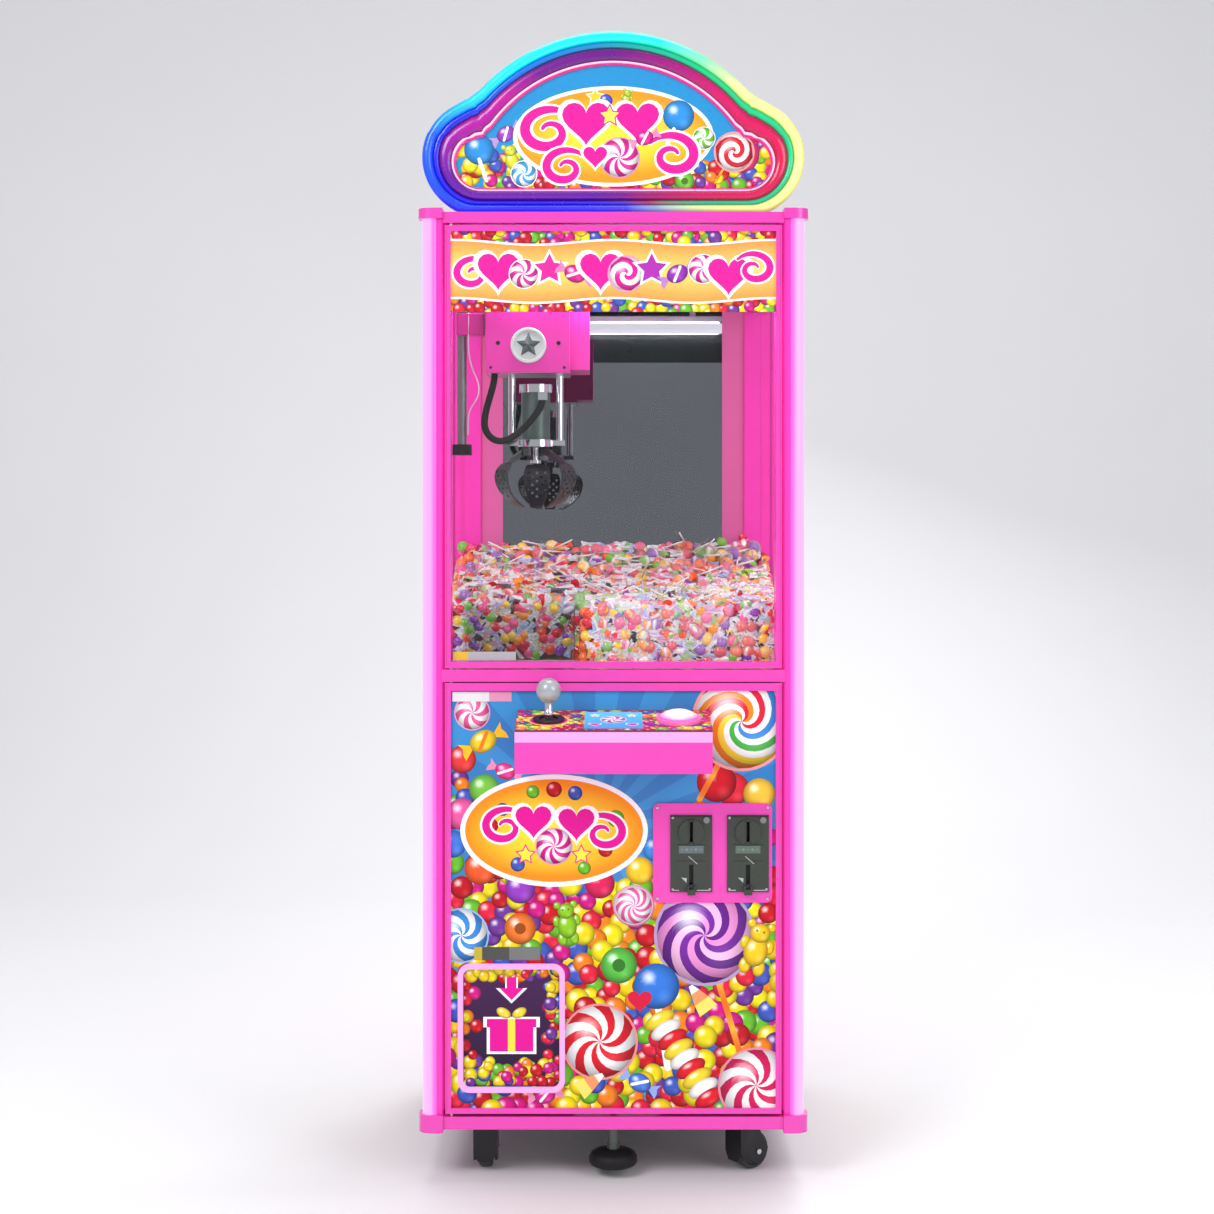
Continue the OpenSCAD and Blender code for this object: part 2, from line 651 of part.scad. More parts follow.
// a scoop's curve in its own plane: radius from the claw's axis, and height
scoop_out = [[58, 1190], [65, 1180], [68, 1168], [66, 1155], [60, 1142], [50, 1130], [38, 1121], [27, 1115]];
scoop_in = [[28, 1118], [37.5, 1124], [48.5, 1132.5], [57.5, 1143.5], [63.2, 1155.5], [65.2, 1168], [62.5, 1178.5], [56, 1187.5]];
module finger(a) {
    color([0.16, 0.16, 0.18]) at_claw() rotate(a) {
        difference() {
            union() {
                ry(-5.7, 5.7, 24, 1210, 5.5);
                xz_plate(-5.7, 5.7) polygon([[25, 1215], [60, 1191], [56, 1185], [22, 1206]]);
                xz_plate(-4, 4) polygon([[24, 1206], [13.5, 1206], [13.5, 1210], [24, 1214]]);
                difference() {
                    xz_plate(-23, 23) polygon(concat(scoop_out, scoop_in));
                    for (j = [0, 1]) mirror([0, j, 0]) translate([0, 0, 0]) rotate([90, 0, 90])
                        linear_extrude(90) polygon([[23.1, 1195], [12, 1195], [20, 1186], [22.9, 1176], [22, 1160], [19, 1142], [14, 1128], [9, 1113], [23.1, 1113]]);
                    for (p = [[0, 1176], [0, 1162], [0, 1148], [0, 1135], [-8, 1169], [8, 1169], [-8, 1155], [8, 1155], [-8, 1141], [8, 1141],
                        [-15, 1176], [15, 1176], [-15, 1162], [15, 1162], [-14, 1148], [14, 1148]])
                        rx(30, 90, p[0], p[1], 2.3);
                }
            }
            ry(-10, 10, 24, 1210, 2.5 + run);
        }
    }
}
module claw_finger_a() finger(210);
module claw_finger_b() finger(90);
module claw_finger_c() finger(-30);

// ---- feet ----
function caster_at(k) = [[-215, F + 75], [215, F + 75], [-215, B - 75], [215, B - 75]][k];
// heading of each caster: the angle of its trail
function heading(k) = [90, 38, 75, 120][k];
module fork(k) {
    c = caster_at(k);
    color([0.09, 0.09, 0.1]) translate([c[0], c[1], 0]) rotate(heading(k)) {
        rz(72, 79.8, 0, 0, 22);
        rz(79, 87, 0, 0, 5);
        bx([-17, -20, 66], [24, 20, 73]);
        for (j = [0, 1]) mirror([0, j, 0]) {
            xz_plate(16, 20) {
                polygon([[-17, 70], [24, 70], [44, 34], [trail - 2, 14], [-8, 18], [-17, 34]]);
                translate([trail, wheel_r]) circle(20);
            }
        }
        ry(-19, 19, trail, wheel_r, 4);
        translate([-17, 0, 0]) rotate([90, 0, 90]) linear_extrude(4)
            polygon([[-20, 68], [-20, 32], [-12, 17], [12, 17], [20, 32], [20, 68]]);
    }
}
module wheel(k) {
    c = caster_at(k);
    color([0.35, 0.37, 0.38]) translate([c[0], c[1], 0]) rotate(heading(k)) translate([trail, 0, wheel_r]) rotate([90, 0, 0])
        difference() {
            rotate_extrude() polygon([[4 + run, -13], [9, -13], [9, -10], [24, -8.5], [25, -11], [29, -11], [31, -8],
                [31, 8], [29, 11], [25, 11], [24, 8.5], [9, 10], [9, 13], [4 + run, 13]]);
        }
}
module caster_fork_fl() fork(0);
module caster_fork_fr() fork(1);
module caster_fork_rl() fork(2);
module caster_fork_rr() fork(3);
module caster_wheel_fl() wheel(0);
module caster_wheel_fr() wheel(1);
module caster_wheel_rl() wheel(2);
module caster_wheel_rr() wheel(3);
module leveller(y) {
    translate([0, y, 0]) {
        color([0.05, 0.05, 0.05]) rotate_extrude() polygon([[0, 15], [32, 15], [37, 17], [40, 22], [40, 30], [37, 36], [30, 40], [12, 43], [0, 43]]);
        color([0.6, 0.6, 0.62]) {
            rz(42, 130, 0, 0, 6);
            translate([0, 0, 43]) cylinder(h = 9, r = 10.5, $fn = 6);
            rz(51, 84, 0, 0, 8.5);
        }
    }
}
module leveller_front() leveller(F + 50);
module leveller_rear() leveller(B - 50);

corner_posts();
cross_rails();
corner_caps();
corner_light_tubes();
base_plate();
side_panels();
side_windows();
rear_panel();
back_mirror();
roof_panel();
prize_deck();
chute_walls();
prize_duct();
candy_fill();
led_light_bar();
gantry_side_rails();
topper_box();
topper_neon_ring();
topper_face();
coin_box();
power_inlet();
power_rocker();
upper_door_frame();
upper_door_glass();
header_sign();
lower_door_frame();
lower_door_panel();
control_shelf();
shelf_top_plate();
shelf_light_strip();
coin_plate();
coin_mechs();
coin_reject_left();
coin_reject_right();
joystick_base();
joystick_gimbal();
joystick_stick();
button_housing();
push_button();
prize_door_trim();
prize_flap();
bridge_beam();
carriage_chassis();
carriage_cover();
control_hose();
claw_coil();
claw_plunger();
claw_finger_a();
claw_finger_b();
claw_finger_c();
caster_fork_fl();
caster_fork_fr();
caster_fork_rl();
caster_fork_rr();
caster_wheel_fl();
caster_wheel_fr();
caster_wheel_rl();
caster_wheel_rr();
leveller_front();
leveller_rear();
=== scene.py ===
import bpy, bmesh, math, random
import numpy as np
from mathutils import Vector, Matrix

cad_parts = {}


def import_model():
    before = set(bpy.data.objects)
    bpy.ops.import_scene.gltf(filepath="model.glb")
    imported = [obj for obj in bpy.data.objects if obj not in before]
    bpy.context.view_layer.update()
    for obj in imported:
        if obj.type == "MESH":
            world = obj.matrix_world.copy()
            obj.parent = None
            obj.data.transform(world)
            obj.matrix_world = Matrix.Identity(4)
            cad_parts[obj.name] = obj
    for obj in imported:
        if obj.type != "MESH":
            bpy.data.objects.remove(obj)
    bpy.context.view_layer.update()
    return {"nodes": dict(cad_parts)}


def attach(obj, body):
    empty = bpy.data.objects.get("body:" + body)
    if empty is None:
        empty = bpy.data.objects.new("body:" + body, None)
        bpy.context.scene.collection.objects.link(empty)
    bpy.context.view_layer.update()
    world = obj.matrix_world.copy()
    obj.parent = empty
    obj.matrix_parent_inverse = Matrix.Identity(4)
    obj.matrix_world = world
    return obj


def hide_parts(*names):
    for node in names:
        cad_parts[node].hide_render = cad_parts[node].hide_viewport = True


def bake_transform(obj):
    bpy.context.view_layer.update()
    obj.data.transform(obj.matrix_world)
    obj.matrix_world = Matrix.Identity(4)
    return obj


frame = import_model()
scene = bpy.context.scene
scene.view_settings.view_transform = "Standard"
scene.view_settings.look = "None"
N = frame["nodes"]
F = -0.266
B = 0.380
RNG = random.Random(7)


def S(r, g, b):
    """sRGB 0-255 to linear."""
    return tuple((v / 255 / 12.92 if v / 255 <= 0.04045 else ((v / 255 + 0.055) / 1.055) ** 2.4) for v in (r, g, b))


# ---------------------------------------------------------------- camera
cam_data = bpy.data.cameras.new("camera")
cam = bpy.data.objects.new("camera", cam_data)
scene.collection.objects.link(cam)
scene.camera = cam
cam_data.sensor_width = 36
cam_data.lens = 64.8
cam_data.clip_end = 60
cam.location = (-0.0105, F - 3.6, 1.103)
cam.rotation_euler = (math.radians(90 - 0.5), 0, 0)
cam_data.shift_y = -0.0601


# ---------------------------------------------------------------- materials
def nodes_of(m):
    m.use_nodes = True
    nt = m.node_tree
    return nt, nt.nodes, nt.links


def mat(name, base, rough=0.4, metal=0.0, coat=0.0, scale=60.0, cvar=0.05, rvar=0.08, bump=0.0, bscale=None, emit=0.0, ecol=None,
        alpha=1.0, spec=0.5, trans=0.0, stretch=(1, 1, 1)):
    m = bpy.data.materials.new(name)
    nt, ns, ln = nodes_of(m)
    p = ns["Principled BSDF"]
    tc = ns.new("ShaderNodeTexCoord")
    mp = ns.new("ShaderNodeMapping")
    mp.inputs["Scale"].default_value = stretch
    ln.new(tc.outputs["Object"], mp.inputs["Vector"])
    no = ns.new("ShaderNodeTexNoise")
    no.inputs["Scale"].default_value = scale
    no.inputs["Detail"].default_value = 4
    ln.new(mp.outputs[0], no.inputs["Vector"])
    mr = ns.new("ShaderNodeMapRange")
    mr.inputs[3].default_value = 1 - cvar
    mr.inputs[4].default_value = 1 + cvar
    ln.new(no.outputs["Fac"], mr.inputs[0])
    mx = ns.new("ShaderNodeVectorMath")
    mx.operation = "SCALE"
    mx.inputs[0].default_value = base[:3]
    ln.new(mr.outputs[0], mx.inputs["Scale"])
    ln.new(mx.outputs[0], p.inputs["Base Color"])
    rr = ns.new("ShaderNodeMapRange")
    rr.inputs[3].default_value = max(0.0, rough - rvar)
    rr.inputs[4].default_value = min(1.0, rough + rvar)
    ln.new(no.outputs["Fac"], rr.inputs[0])
    ln.new(rr.outputs[0], p.inputs["Roughness"])
    p.inputs["Metallic"].default_value = metal
    p.inputs["Coat Weight"].default_value = coat
    p.inputs["Coat Roughness"].default_value = 0.08
    p.inputs["Specular IOR Level"].default_value = spec
    p.inputs["Alpha"].default_value = alpha
    p.inputs["Transmission Weight"].default_value = trans
    if emit:
        p.inputs["Emission Color"].default_value = tuple((ecol or base)[:3]) + (1,)
        p.inputs["Emission Strength"].default_value = emit
    if bump:
        n2 = ns.new("ShaderNodeTexNoise")
        n2.inputs["Scale"].default_value = bscale or scale * 6
        ln.new(mp.outputs[0], n2.inputs["Vector"])
        bp = ns.new("ShaderNodeBump")
        bp.inputs["Strength"].default_value = bump
        bp.inputs["Distance"].default_value = 0.0005
        ln.new(n2.outputs["Fac"], bp.inputs["Height"])
        ln.new(bp.outputs[0], p.inputs["Normal"])
    return m


def attr_mat(name, rough=0.3, coat=0.2, emit=0.0, cvar=0.04, scale=90.0, alpha=1.0, spec=0.5):
    """Colour comes from the mesh's own Col attribute, varied a little by noise."""
    m = mat(name, (1, 1, 1), rough=rough, coat=coat, cvar=cvar, scale=scale, alpha=alpha, spec=spec)
    nt, ns, ln = nodes_of(m)
    p = ns["Principled BSDF"]
    at = ns.new("ShaderNodeAttribute")
    at.attribute_name = "Col"
    vm = [n for n in ns if n.bl_idname == "ShaderNodeVectorMath"][0]
    ln.new(at.outputs["Color"], vm.inputs[0])
    if emit:
        ln.new(vm.outputs[0], p.inputs["Emission Color"])
        p.inputs["Emission Strength"].default_value = emit
    return m


PINK = mat("pink_paint", S(236, 60, 180), rough=0.32, coat=0.45, scale=35, cvar=0.06, rvar=0.06, bump=0.12, bscale=420)
PINK_D = mat("pink_satin", S(206, 40, 160), rough=0.45, coat=0.15, scale=30, cvar=0.08, bump=0.15, bscale=350)
BLACK = mat("black_plastic", (0.012, 0.012, 0.014), rough=0.42, scale=120, cvar=0.25, rvar=0.1, bump=0.3, bscale=900)
BLACK_S = mat("black_steel", (0.009, 0.009, 0.010), rough=0.36, spec=0.35, metal=0.2, coat=0.2, scale=70, cvar=0.2, bump=0.2, bscale=500)
RUBBER = mat("black_rubber", (0.008, 0.008, 0.009), rough=0.6, spec=0.3, scale=60, cvar=0.2, rvar=0.12, bump=0.4, bscale=700)
STEEL = mat("zinc_steel", (0.62, 0.63, 0.66), rough=0.3, metal=1.0, scale=40, cvar=0.08, rvar=0.1, stretch=(1, 6, 6), bump=0.05, bscale=300)
CHROME = mat("chrome", (0.78, 0.79, 0.82), rough=0.14, metal=1.0, scale=60, cvar=0.04, rvar=0.05)
COIL = mat("coil_grey_green", (0.10, 0.135, 0.125), rough=0.35, metal=0.55, scale=50, cvar=0.15, bump=0.15)
GREY = mat("grey_steel", (0.25, 0.26, 0.27), rough=0.42, metal=0.6, scale=50, cvar=0.12, bump=0.1)
WHITE = mat("white_panel", (0.78, 0.78, 0.8), rough=0.4, scale=40, cvar=0.05)
DUCT = mat("duct_steel", (0.035, 0.033, 0.04), rough=0.5, scale=40, cvar=0.2)
TREAD = mat("grey_tread", (0.030, 0.036, 0.036), rough=0.5, scale=90, cvar=0.15, bump=0.3, bscale=800)
GLASS = mat("clear_glass", (0.10, 0.13, 0.13), rough=0.03, rvar=0.01, alpha=0.04, scale=8, cvar=0.02, spec=0.9)
ACRYL = mat("clear_acrylic", (0.16, 0.20, 0.21), rough=0.05, rvar=0.02, alpha=0.06, scale=8, cvar=0.03, spec=0.7)
MIRROR = mat("wall_mirror", (0.265, 0.27, 0.295), rough=0.02, rvar=0.004, metal=1.0, scale=6, cvar=0.06)
LED = mat("led_white", (1, 1, 1), rough=0.4, emit=12.0, ecol=(0.95, 0.98, 1.0), scale=20, cvar=0.02)
REDP = mat("red_plastic", S(190, 18, 18), rough=0.3, coat=0.3, scale=60)
# the printed art is given a faint glow (emit 0.04): painted light, the printed panels are no lamp
PRINT = attr_mat("printed_art_faint_glow", rough=0.34, coat=0.04, emit=0.04, spec=0.22, cvar=0.02)
PRINT_LIT = attr_mat("lit_art", rough=0.3, coat=0.2, emit=0.14)
NEON = attr_mat("neon_bands", rough=0.25, coat=0.3, emit=0.45, cvar=0.03)
# the sweets are given a slight glow (emit 0.10): painted light, the sweets are no lamp
CANDY = attr_mat("candy_gloss_painted_glow", rough=0.16, coat=0.8, emit=0.10, cvar=0.10, scale=260)
PLAINCOL = attr_mat("moulded_colour", rough=0.35, coat=0.2, emit=0.0, cvar=0.05)
WRAP = mat("clear_wrapper", (0.95, 0.97, 1.0), rough=0.08, rvar=0.05, alpha=0.15, spec=1.0, scale=200, cvar=0.05, bump=0.9, bscale=260)


def tube_mat():
    """Lit corner tube: white towards the corner's outer edge, pink towards its sides, from how far out the surface lies
    along x.
    """
    m = mat("lit_corner_tube", S(120, 50, 112), rough=0.3, coat=0.15, scale=12, cvar=0.03)
    nt, ns, ln = nodes_of(m)
    p = ns["Principled BSDF"]
    tc = ns.new("ShaderNodeTexCoord")
    sx = ns.new("ShaderNodeSeparateXYZ")
    ln.new(tc.outputs["Object"], sx.inputs[0])
    ab = ns.new("ShaderNodeMath")
    ab.operation = "ABSOLUTE"
    ln.new(sx.outputs["X"], ab.inputs[0])
    mr = ns.new("ShaderNodeMapRange")
    mr.inputs[1].default_value = 0.291
    mr.inputs[2].default_value = 0.3165
    ln.new(ab.outputs[0], mr.inputs[0])
    cr = ns.new("ShaderNodeValToRGB")
    e = cr.color_ramp.elements
    e[0].position, e[0].color = 0.0, S(238, 84, 212) + (1,)
    e[1].position, e[1].color = 1.0, S(246, 196, 248) + (1,)
    for pos, c in ((0.22, S(244, 120, 232)), (0.42, S(249, 186, 248)), (0.8, S(250, 200, 248))):
        k = e.new(pos)
        k.color = c + (1,)
    ln.new(mr.outputs[0], cr.inputs[0])
    ln.new(cr.outputs[0], p.inputs["Emission Color"])
    p.inputs["Emission Strength"].default_value = 0.88
    return m


TUBE = tube_mat()
TRIM_LIT = mat("lit_trim", S(130, 60, 115), rough=0.3, coat=0.2, emit=0.84, ecol=S(247, 186, 242), scale=25, cvar=0.04)


# ---------------------------------------------------------------- mesh helpers
def obj(name, verts, faces, material, body, cols=None, smooth=False, replaces=None, slot=None):
    me = bpy.data.meshes.new(name)
    me.from_pydata([tuple(v) for v in verts], [], [tuple(f) for f in faces])
    me.materials.append(material)
    if cols is not None:
        a = me.color_attributes.new("Col", "FLOAT_COLOR", "POINT")
        arr = np.ones((len(verts), 4), np.float32)
        arr[:, :3] = np.asarray(cols, np.float32).reshape(-1, 3)
        a.data.foreach_set("color", arr.ravel())
    if smooth:
        me.polygons.foreach_set("use_smooth", [True] * len(me.polygons))
    me.validate(clean_customdata=False)
    me.update()
    o = bpy.data.objects.new(name, me)
    scene.collection.objects.link(o)
    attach(o, body)
    if replaces:
        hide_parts(*([replaces] if isinstance(replaces, str) else replaces))
    return o


def fix_normals(o):
    bm = bmesh.new()
    bm.from_mesh(o.data)
    bmesh.ops.remove_doubles(bm, verts=bm.verts, dist=1e-6)
    bmesh.ops.recalc_face_normals(bm, faces=bm.faces)
    bm.to_mesh(o.data)
    bm.free()


class Mesh:
    """Collects many small shapes into one object."""

    def __init__(self):
        self.v, self.f, self.c = [], [], []

    def add(self, verts, faces, col):
        b = len(self.v)
        self.v += [tuple(v) for v in verts]
        self.f += [tuple(i + b for i in f) for f in faces]
        if callable(col):
            self.c += [col(v) for v in verts]
        elif len(col) == 3 and not hasattr(col[0], "__len__"):
            self.c += [tuple(col)] * len(verts)
        else:
            self.c += [tuple(x) for x in col]

    def build(self, name, material, body, **k):
        return obj(name, self.v, self.f, material, body, cols=self.c, **k)


def lathe(profile, n=32, axis="z", at=(0, 0, 0), close=False):
    """profile: (r, h) pairs. Returns verts, faces of a turned shape along axis."""
    vs, fs = [], []
    m = len(profile)
    for i in range(n):
        a = 2 * math.pi * i / n
        for r, h in profile:
            p = (r * math.cos(a), r * math.sin(a), h)
            if axis == "y":
                p = (p[0], p[2], p[1])
            elif axis == "x":
                p = (p[2], p[0], p[1])
            vs.append((p[0] + at[0], p[1] + at[1], p[2] + at[2]))
    for i in range(n):
        j = (i + 1) % n
        for k in range(m - 1):
            f = (i * m + k, j * m + k, j * m + k + 1, i * m + k + 1)
            fs.append(f if axis != "y" else f[::-1])
    return vs, fs


def tube_path(pts, r, n=10, ripple=None, caps=True):
    """A round tube along pts. ripple(s) scales the radius along the length."""
    P = [Vector(p) for p in pts]
    vs, fs = [], []
    up = None
    s = 0.0
    for i, p in enumerate(P):
        t = (P[min(i + 1, len(P) - 1)] - P[max(i - 1, 0)]).normalized()
        if up is None:
            up = Vector((0, 0, 1)) if abs(t.z) < 0.8 else Vector((1, 0, 0))
        u = (up - t * up.dot(t)).normalized()
        up = u
        w = t.cross(u)
        if i:
            s += (p - P[i - 1]).length
        rr = r * (ripple(s) if ripple else 1)
        for k in range(n):
            a = 2 * math.pi * k / n
            vs.append(p + (u * math.cos(a) + w * math.sin(a)) * rr)
    for i in range(len(P) - 1):
        for k in range(n):
            k2 = (k + 1) % n
            fs.append((i * n + k, i * n + k2, (i + 1) * n + k2, (i + 1) * n + k))
    if caps:
        fs.append(tuple(range(n - 1, -1, -1)))
        fs.append(tuple((len(P) - 1) * n + k for k in range(n)))
    return [tuple(v) for v in vs], fs


def spline(pts, step):
    """Catmull-Rom through pts, resampled about every step."""
    P = [Vector(p) for p in pts]
    P = [P[0] * 2 - P[1]] + P + [P[-1] * 2 - P[-2]]
    out = []
    for i in range(1, len(P) - 2):
        p0, p1, p2, p3 = P[i - 1:i + 3]
        m = max(1, int((p2 - p1).length / step + 0.5))
        for k in range(m):
            t = k / m
            out.append(0.5 * ((2 * p1) + (p2 - p0) * t + (2 * p0 - 5 * p1 + 4 * p2 - p3) * t * t + (3 * p1 - p0 - 3 * p2 + p3) * t ** 3))
    out.append(P[-2])
    return out


# ---------------------------------------------------------------- the claw's control hose (a cord held at both ends)
HOSE = [(-200, -178, 1340.8), (-201, -179, 1330), (-203, -181, 1319), (-206, -183, 1308), (-209, -185, 1297), (-212, -188, 1286),
        (-214.5, -190, 1275), (-216, -192, 1264), (-216, -194, 1253), (-213, -195, 1243), (-207, -196, 1234.5), (-199, -196, 1229),
        (-190, -196, 1227), (-181, -195, 1228.5), (-172, -193, 1232.5), (-163, -191, 1238.5), (-154, -188, 1246), (-145.5, -185, 1254.5),
        (-137, -181, 1264), (-129.5, -177, 1274), (-123, -172.5, 1285), (-119, -169.5, 1296.8)]
HOSE = [(x / 1000, y / 1000, z / 1000) for x, y, z in HOSE]
hp = spline(HOSE, 0.0011)
hv, hf = tube_path(hp, 0.0057, 14, ripple=lambda s: 1.0 + 0.055 * math.sin(s / 0.0034 * 2 * math.pi))
hose = obj("hose_corrugated", hv, hf, RUBBER, "carriage", smooth=True)
hose.parent = None
hlen = sum((b - a).length for a, b in zip(hp, hp[1:]))
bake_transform(hose)
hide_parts("control_hose")
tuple(HOSE[0])
[tuple(p) for p in hp]


# ---------------------------------------------------------------- printed art: flat coloured shapes in thin layers
def mixc(a, b, t):
    return tuple(x + (y - x) * t for x, y in zip(a, b))


def ballcol(c):
    def f(u, v):
        d = math.hypot(u, v)
        k = 1.02 - 0.62 * max(0.0, (d - 0.35) / 0.65) ** 1.7 + 0.14 * (v - 0.5 * u)
        h = max(0.0, 1 - math.hypot(u + 0.33, v - 0.38) / 0.36) ** 1.2
        h2 = 0.25 * max(0.0, 1 - math.hypot(u - 0.35, v + 0.5) / 0.4)
        return tuple(min(1.0, max(0.0, x * k + 0.95 * h * (1 - x * 0.3) + h2 * (x + 0.15))) for x in c)
    return f


class Art:
    def __init__(self, place, rects, dy=3.5e-5, keep=None):
        self.m, self.place, self.rects, self.dy, self.circ, self.keep = Mesh(), place, rects, dy, [], keep

    def layer(self, x, z, r):
        L = 0
        if self.circ:
            a = np.array(self.circ)
            d = np.hypot(a[:, 0] - x, a[:, 1] - z) < a[:, 2] + r
            if d.any():
                L = int(a[d, 3].max()) + 1
        self.circ.append((x, z, r, L))
        return L

    def clip(self, poly, rect):
        """poly: list of (x, z, colour)."""
        for ax, lim, sgn in ((0, rect[0], 1), (0, rect[2], -1), (1, rect[1], 1), (1, rect[3], -1)):
            out = []
            for i, p in enumerate(poly):
                q = poly[(i + 1) % len(poly)]
                a, b = sgn * (p[ax] - lim), sgn * (q[ax] - lim)
                if a >= 0:
                    out.append(p)
                if a * b < 0:
                    t = a / (a - b)
                    out.append((p[0] + (q[0] - p[0]) * t, p[1] + (q[1] - p[1]) * t, mixc(p[2], q[2], t)))
            poly = out
            if len(poly) < 3:
                return []
        return poly

    def put(self, v2, faces, cols, bound=None, level=None):
        xs, zs = [p[0] for p in v2], [p[1] for p in v2]
        if bound is None:
            cx, cz = (min(xs) + max(xs)) / 2, (min(zs) + max(zs)) / 2
            bound = (cx, cz, max(math.hypot(x - cx, z - cz) for x, z in v2))
        L = self.layer(*bound) if level is None else level
        for r in self.rects:
            if min(xs) >= r[0] and max(xs) <= r[2] and min(zs) >= r[1] and max(zs) <= r[3]:
                if self.keep:
                    faces = [f for f in faces if all(self.keep(*v2[i]) for i in f)]
                self.m.add([self.place(x, z, L * self.dy) for x, z in v2], faces, cols)
                return
        for f in faces:
            for r in self.rects:
                q = self.clip([(v2[i][0], v2[i][1], cols[i]) for i in f], r)
                if len(q) > 2 and (not self.keep or all(self.keep(p[0], p[1]) for p in q)):
                    self.m.add([self.place(p[0], p[1], L * self.dy) for p in q], [tuple(range(len(q)))], [p[2] for p in q])

    def disc(self, x, z, rx, col, rz=None, rot=0.0, n=22, rings=(0.22, 0.42, 0.6, 0.76, 0.9, 1.0), bound=True):
        rz = rz or rx
        f = col if callable(col) else (lambda u, v: col)
        ca, sa = math.cos(rot), math.sin(rot)
        v2, cs = [(x, z)], [f(0, 0)]
        for k in rings:
            for i in range(n):
                a = 2 * math.pi * i / n
                u, v = k * math.cos(a), k * math.sin(a)
                v2.append((x + rx * u * ca - rz * v * sa, z + rx * u * sa + rz * v * ca))
                cs.append(f(u * ca - v * sa, u * sa + v * ca))
        fs = [(0, 1 + i, 1 + (i + 1) % n) for i in range(n)]
        for k in range(len(rings) - 1):
            for i in range(n):
                j = (i + 1) % n
                fs.append((1 + k * n + i, 1 + (k + 1) * n + i, 1 + (k + 1) * n + j, 1 + k * n + j))
        self.put(v2, fs, cs, (x, z, max(rx, rz) * 1.0) if bound else None)

    def flat(self, x, z, rx, col, rz=None, rot=0.0, n=40):
        self.disc(x, z, rx, col, rz, rot, n, rings=(1.0,))

    def swirl(self, x, z, r, cols, twist, sectors, rings=9, rim=None, shade=True):
        """Curved sectors, as on a peppermint or a spiral lollipop."""
        if rim:
            self.flat(x, z, r * 1.06, rim)
        L = self.layer(x, z, r)
        for s in range(sectors):
            c = cols[s % len(cols)]
            v2, cs, fs = [], [], []
            for k in range(rings + 1):
                rho = 0.02 + 0.98 * k / rings
                for e in range(3):
                    a = 2 * math.pi * (s + e / 2) / sectors + twist * rho
                    u, v = rho * math.cos(a), rho * math.sin(a)
                    v2.append((x + r * u, z + r * v))
                    cs.append(ballcol(c)(u, v) if shade else c)
            for k in range(rings):
                for e in range(2):
                    fs.append((k * 3 + e, (k + 1) * 3 + e, (k + 1) * 3 + e + 1, k * 3 + e + 1))
            self.put(v2, fs, cs, level=L)

    def poly(self, pts, col, fan=True):
        f = col if callable(col) else (lambda x, z: col)
        cx, cz = sum(p[0] for p in pts) / len(pts), sum(p[1] for p in pts) / len(pts)
        v2 = [(cx, cz)] + list(pts)
        n = len(pts)
        self.put(v2, [(0, 1 + i, 1 + (i + 1) % n) for i in range(n)], [f(*p) for p in v2])

    def stroke(self, pts, w, col, taper=False):
        P = [Vector((x, 0, z)) for x, z in pts]
        P = spline(P, 0.004)
        n = len(P)
        v2, cs, fs = [], [], []
        for i, p in enumerate(P):
            t = (P[min(i + 1, n - 1)] - P[max(i - 1, 0)]).normalized()
            k = w / 2 * (math.sin(math.pi * (0.12 + 0.76 * i / (n - 1))) if taper else 1)
            c = col(i / (n - 1)) if callable(col) else col
            v2 += [(p.x - t.z * k, p.z + t.x * k), (p.x + t.z * k, p.z - t.x * k)]
            cs += [c, c]
        for i in range(n - 1):
            fs.append((2 * i, 2 * i + 1, 2 * i + 3, 2 * i + 2))
        self.put(v2, fs, cs)
        for i, e in ((0, 0), (-1, n - 1)):
            k = w / 2 * (math.sin(math.pi * 0.12) if taper else 1)
            self.flat(P[i].x, P[i].z, k, cs[2 * e], n=14)

    def rays(self, x, z, R, n, c1, c2):
        L = self.layer(x, z, R)
        for i in range(n):
            a, b = 2 * math.pi * i / n, 2 * math.pi * (i + 1) / n
            c = c1 if i % 2 else c2
            v2 = [(x, z)] + [(x + R * math.cos(t), z + R * math.sin(t)) for t in (a, (a + b) / 2, b)]
            self.put(v2, [(0, 1, 2), (0, 2, 3)], [mixc(c, (1, 1, 1), 0.06)] + [c] * 3, level=L)

    def heart(self, x, z, s, col, border=None, bw=1.22):
        def pts(k):
            out = []
            for i in range(28):
                t = 2 * math.pi * i / 28
                out.append((x + k * s * 0.0625 * 16 * math.sin(t) ** 3,
                            z + k * s * 0.0625 * (13 * math.cos(t) - 5 * math.cos(2 * t) - 2 * math.cos(3 * t) - math.cos(4 * t))))
            return out
        if border:
            self.poly(pts(bw), border)
        self.poly(pts(1), col)

    def star(self, x, z, r, col, border=None, rot=0.0):
        def pts(k):
            return [(x + k * r * (1 if i % 2 == 0 else 0.5) * math.sin(math.pi * i / 5 + rot),
                     z + k * r * (1 if i % 2 == 0 else 0.5) * math.cos(math.pi * i / 5 + rot)) for i in range(10)]
        if border:
            self.poly(pts(1.3), border)
        self.poly(pts(1), col)

    def wrapped(self, x, z, r, rot, c, c2=(1, 1, 1)):
        """A sweet in a twisted wrapper."""
        d = Vector((math.cos(rot), math.sin(rot)))
        for s in (-1, 1):
            a, b = Vector((x, z)) + d * s * r * 0.8, Vector((x, z)) + d * s * r * 2.0
            n = Vector((-d.y, d.x)) * r * 0.75
            self.poly([tuple(a), tuple(b + n), tuple(b + n * 0.3 - d * s * r * 0.2), tuple(b - n * 0.3), tuple(b - n)], mixc(c, c2, 0.25))
        self.disc(x, z, r * 1.15, ballcol(c), rz=r * 0.9, rot=rot)
        self.stroke([(x - d.x * r * .6 + d.y * r * .5, z - d.y * r * .6 - d.x * r * .5), (x, z), (x + d.x * r * .6 - d.y * r * .5, z + d.y * r * .6 + d.x * r * .5)],
                    r * 0.3, c2)

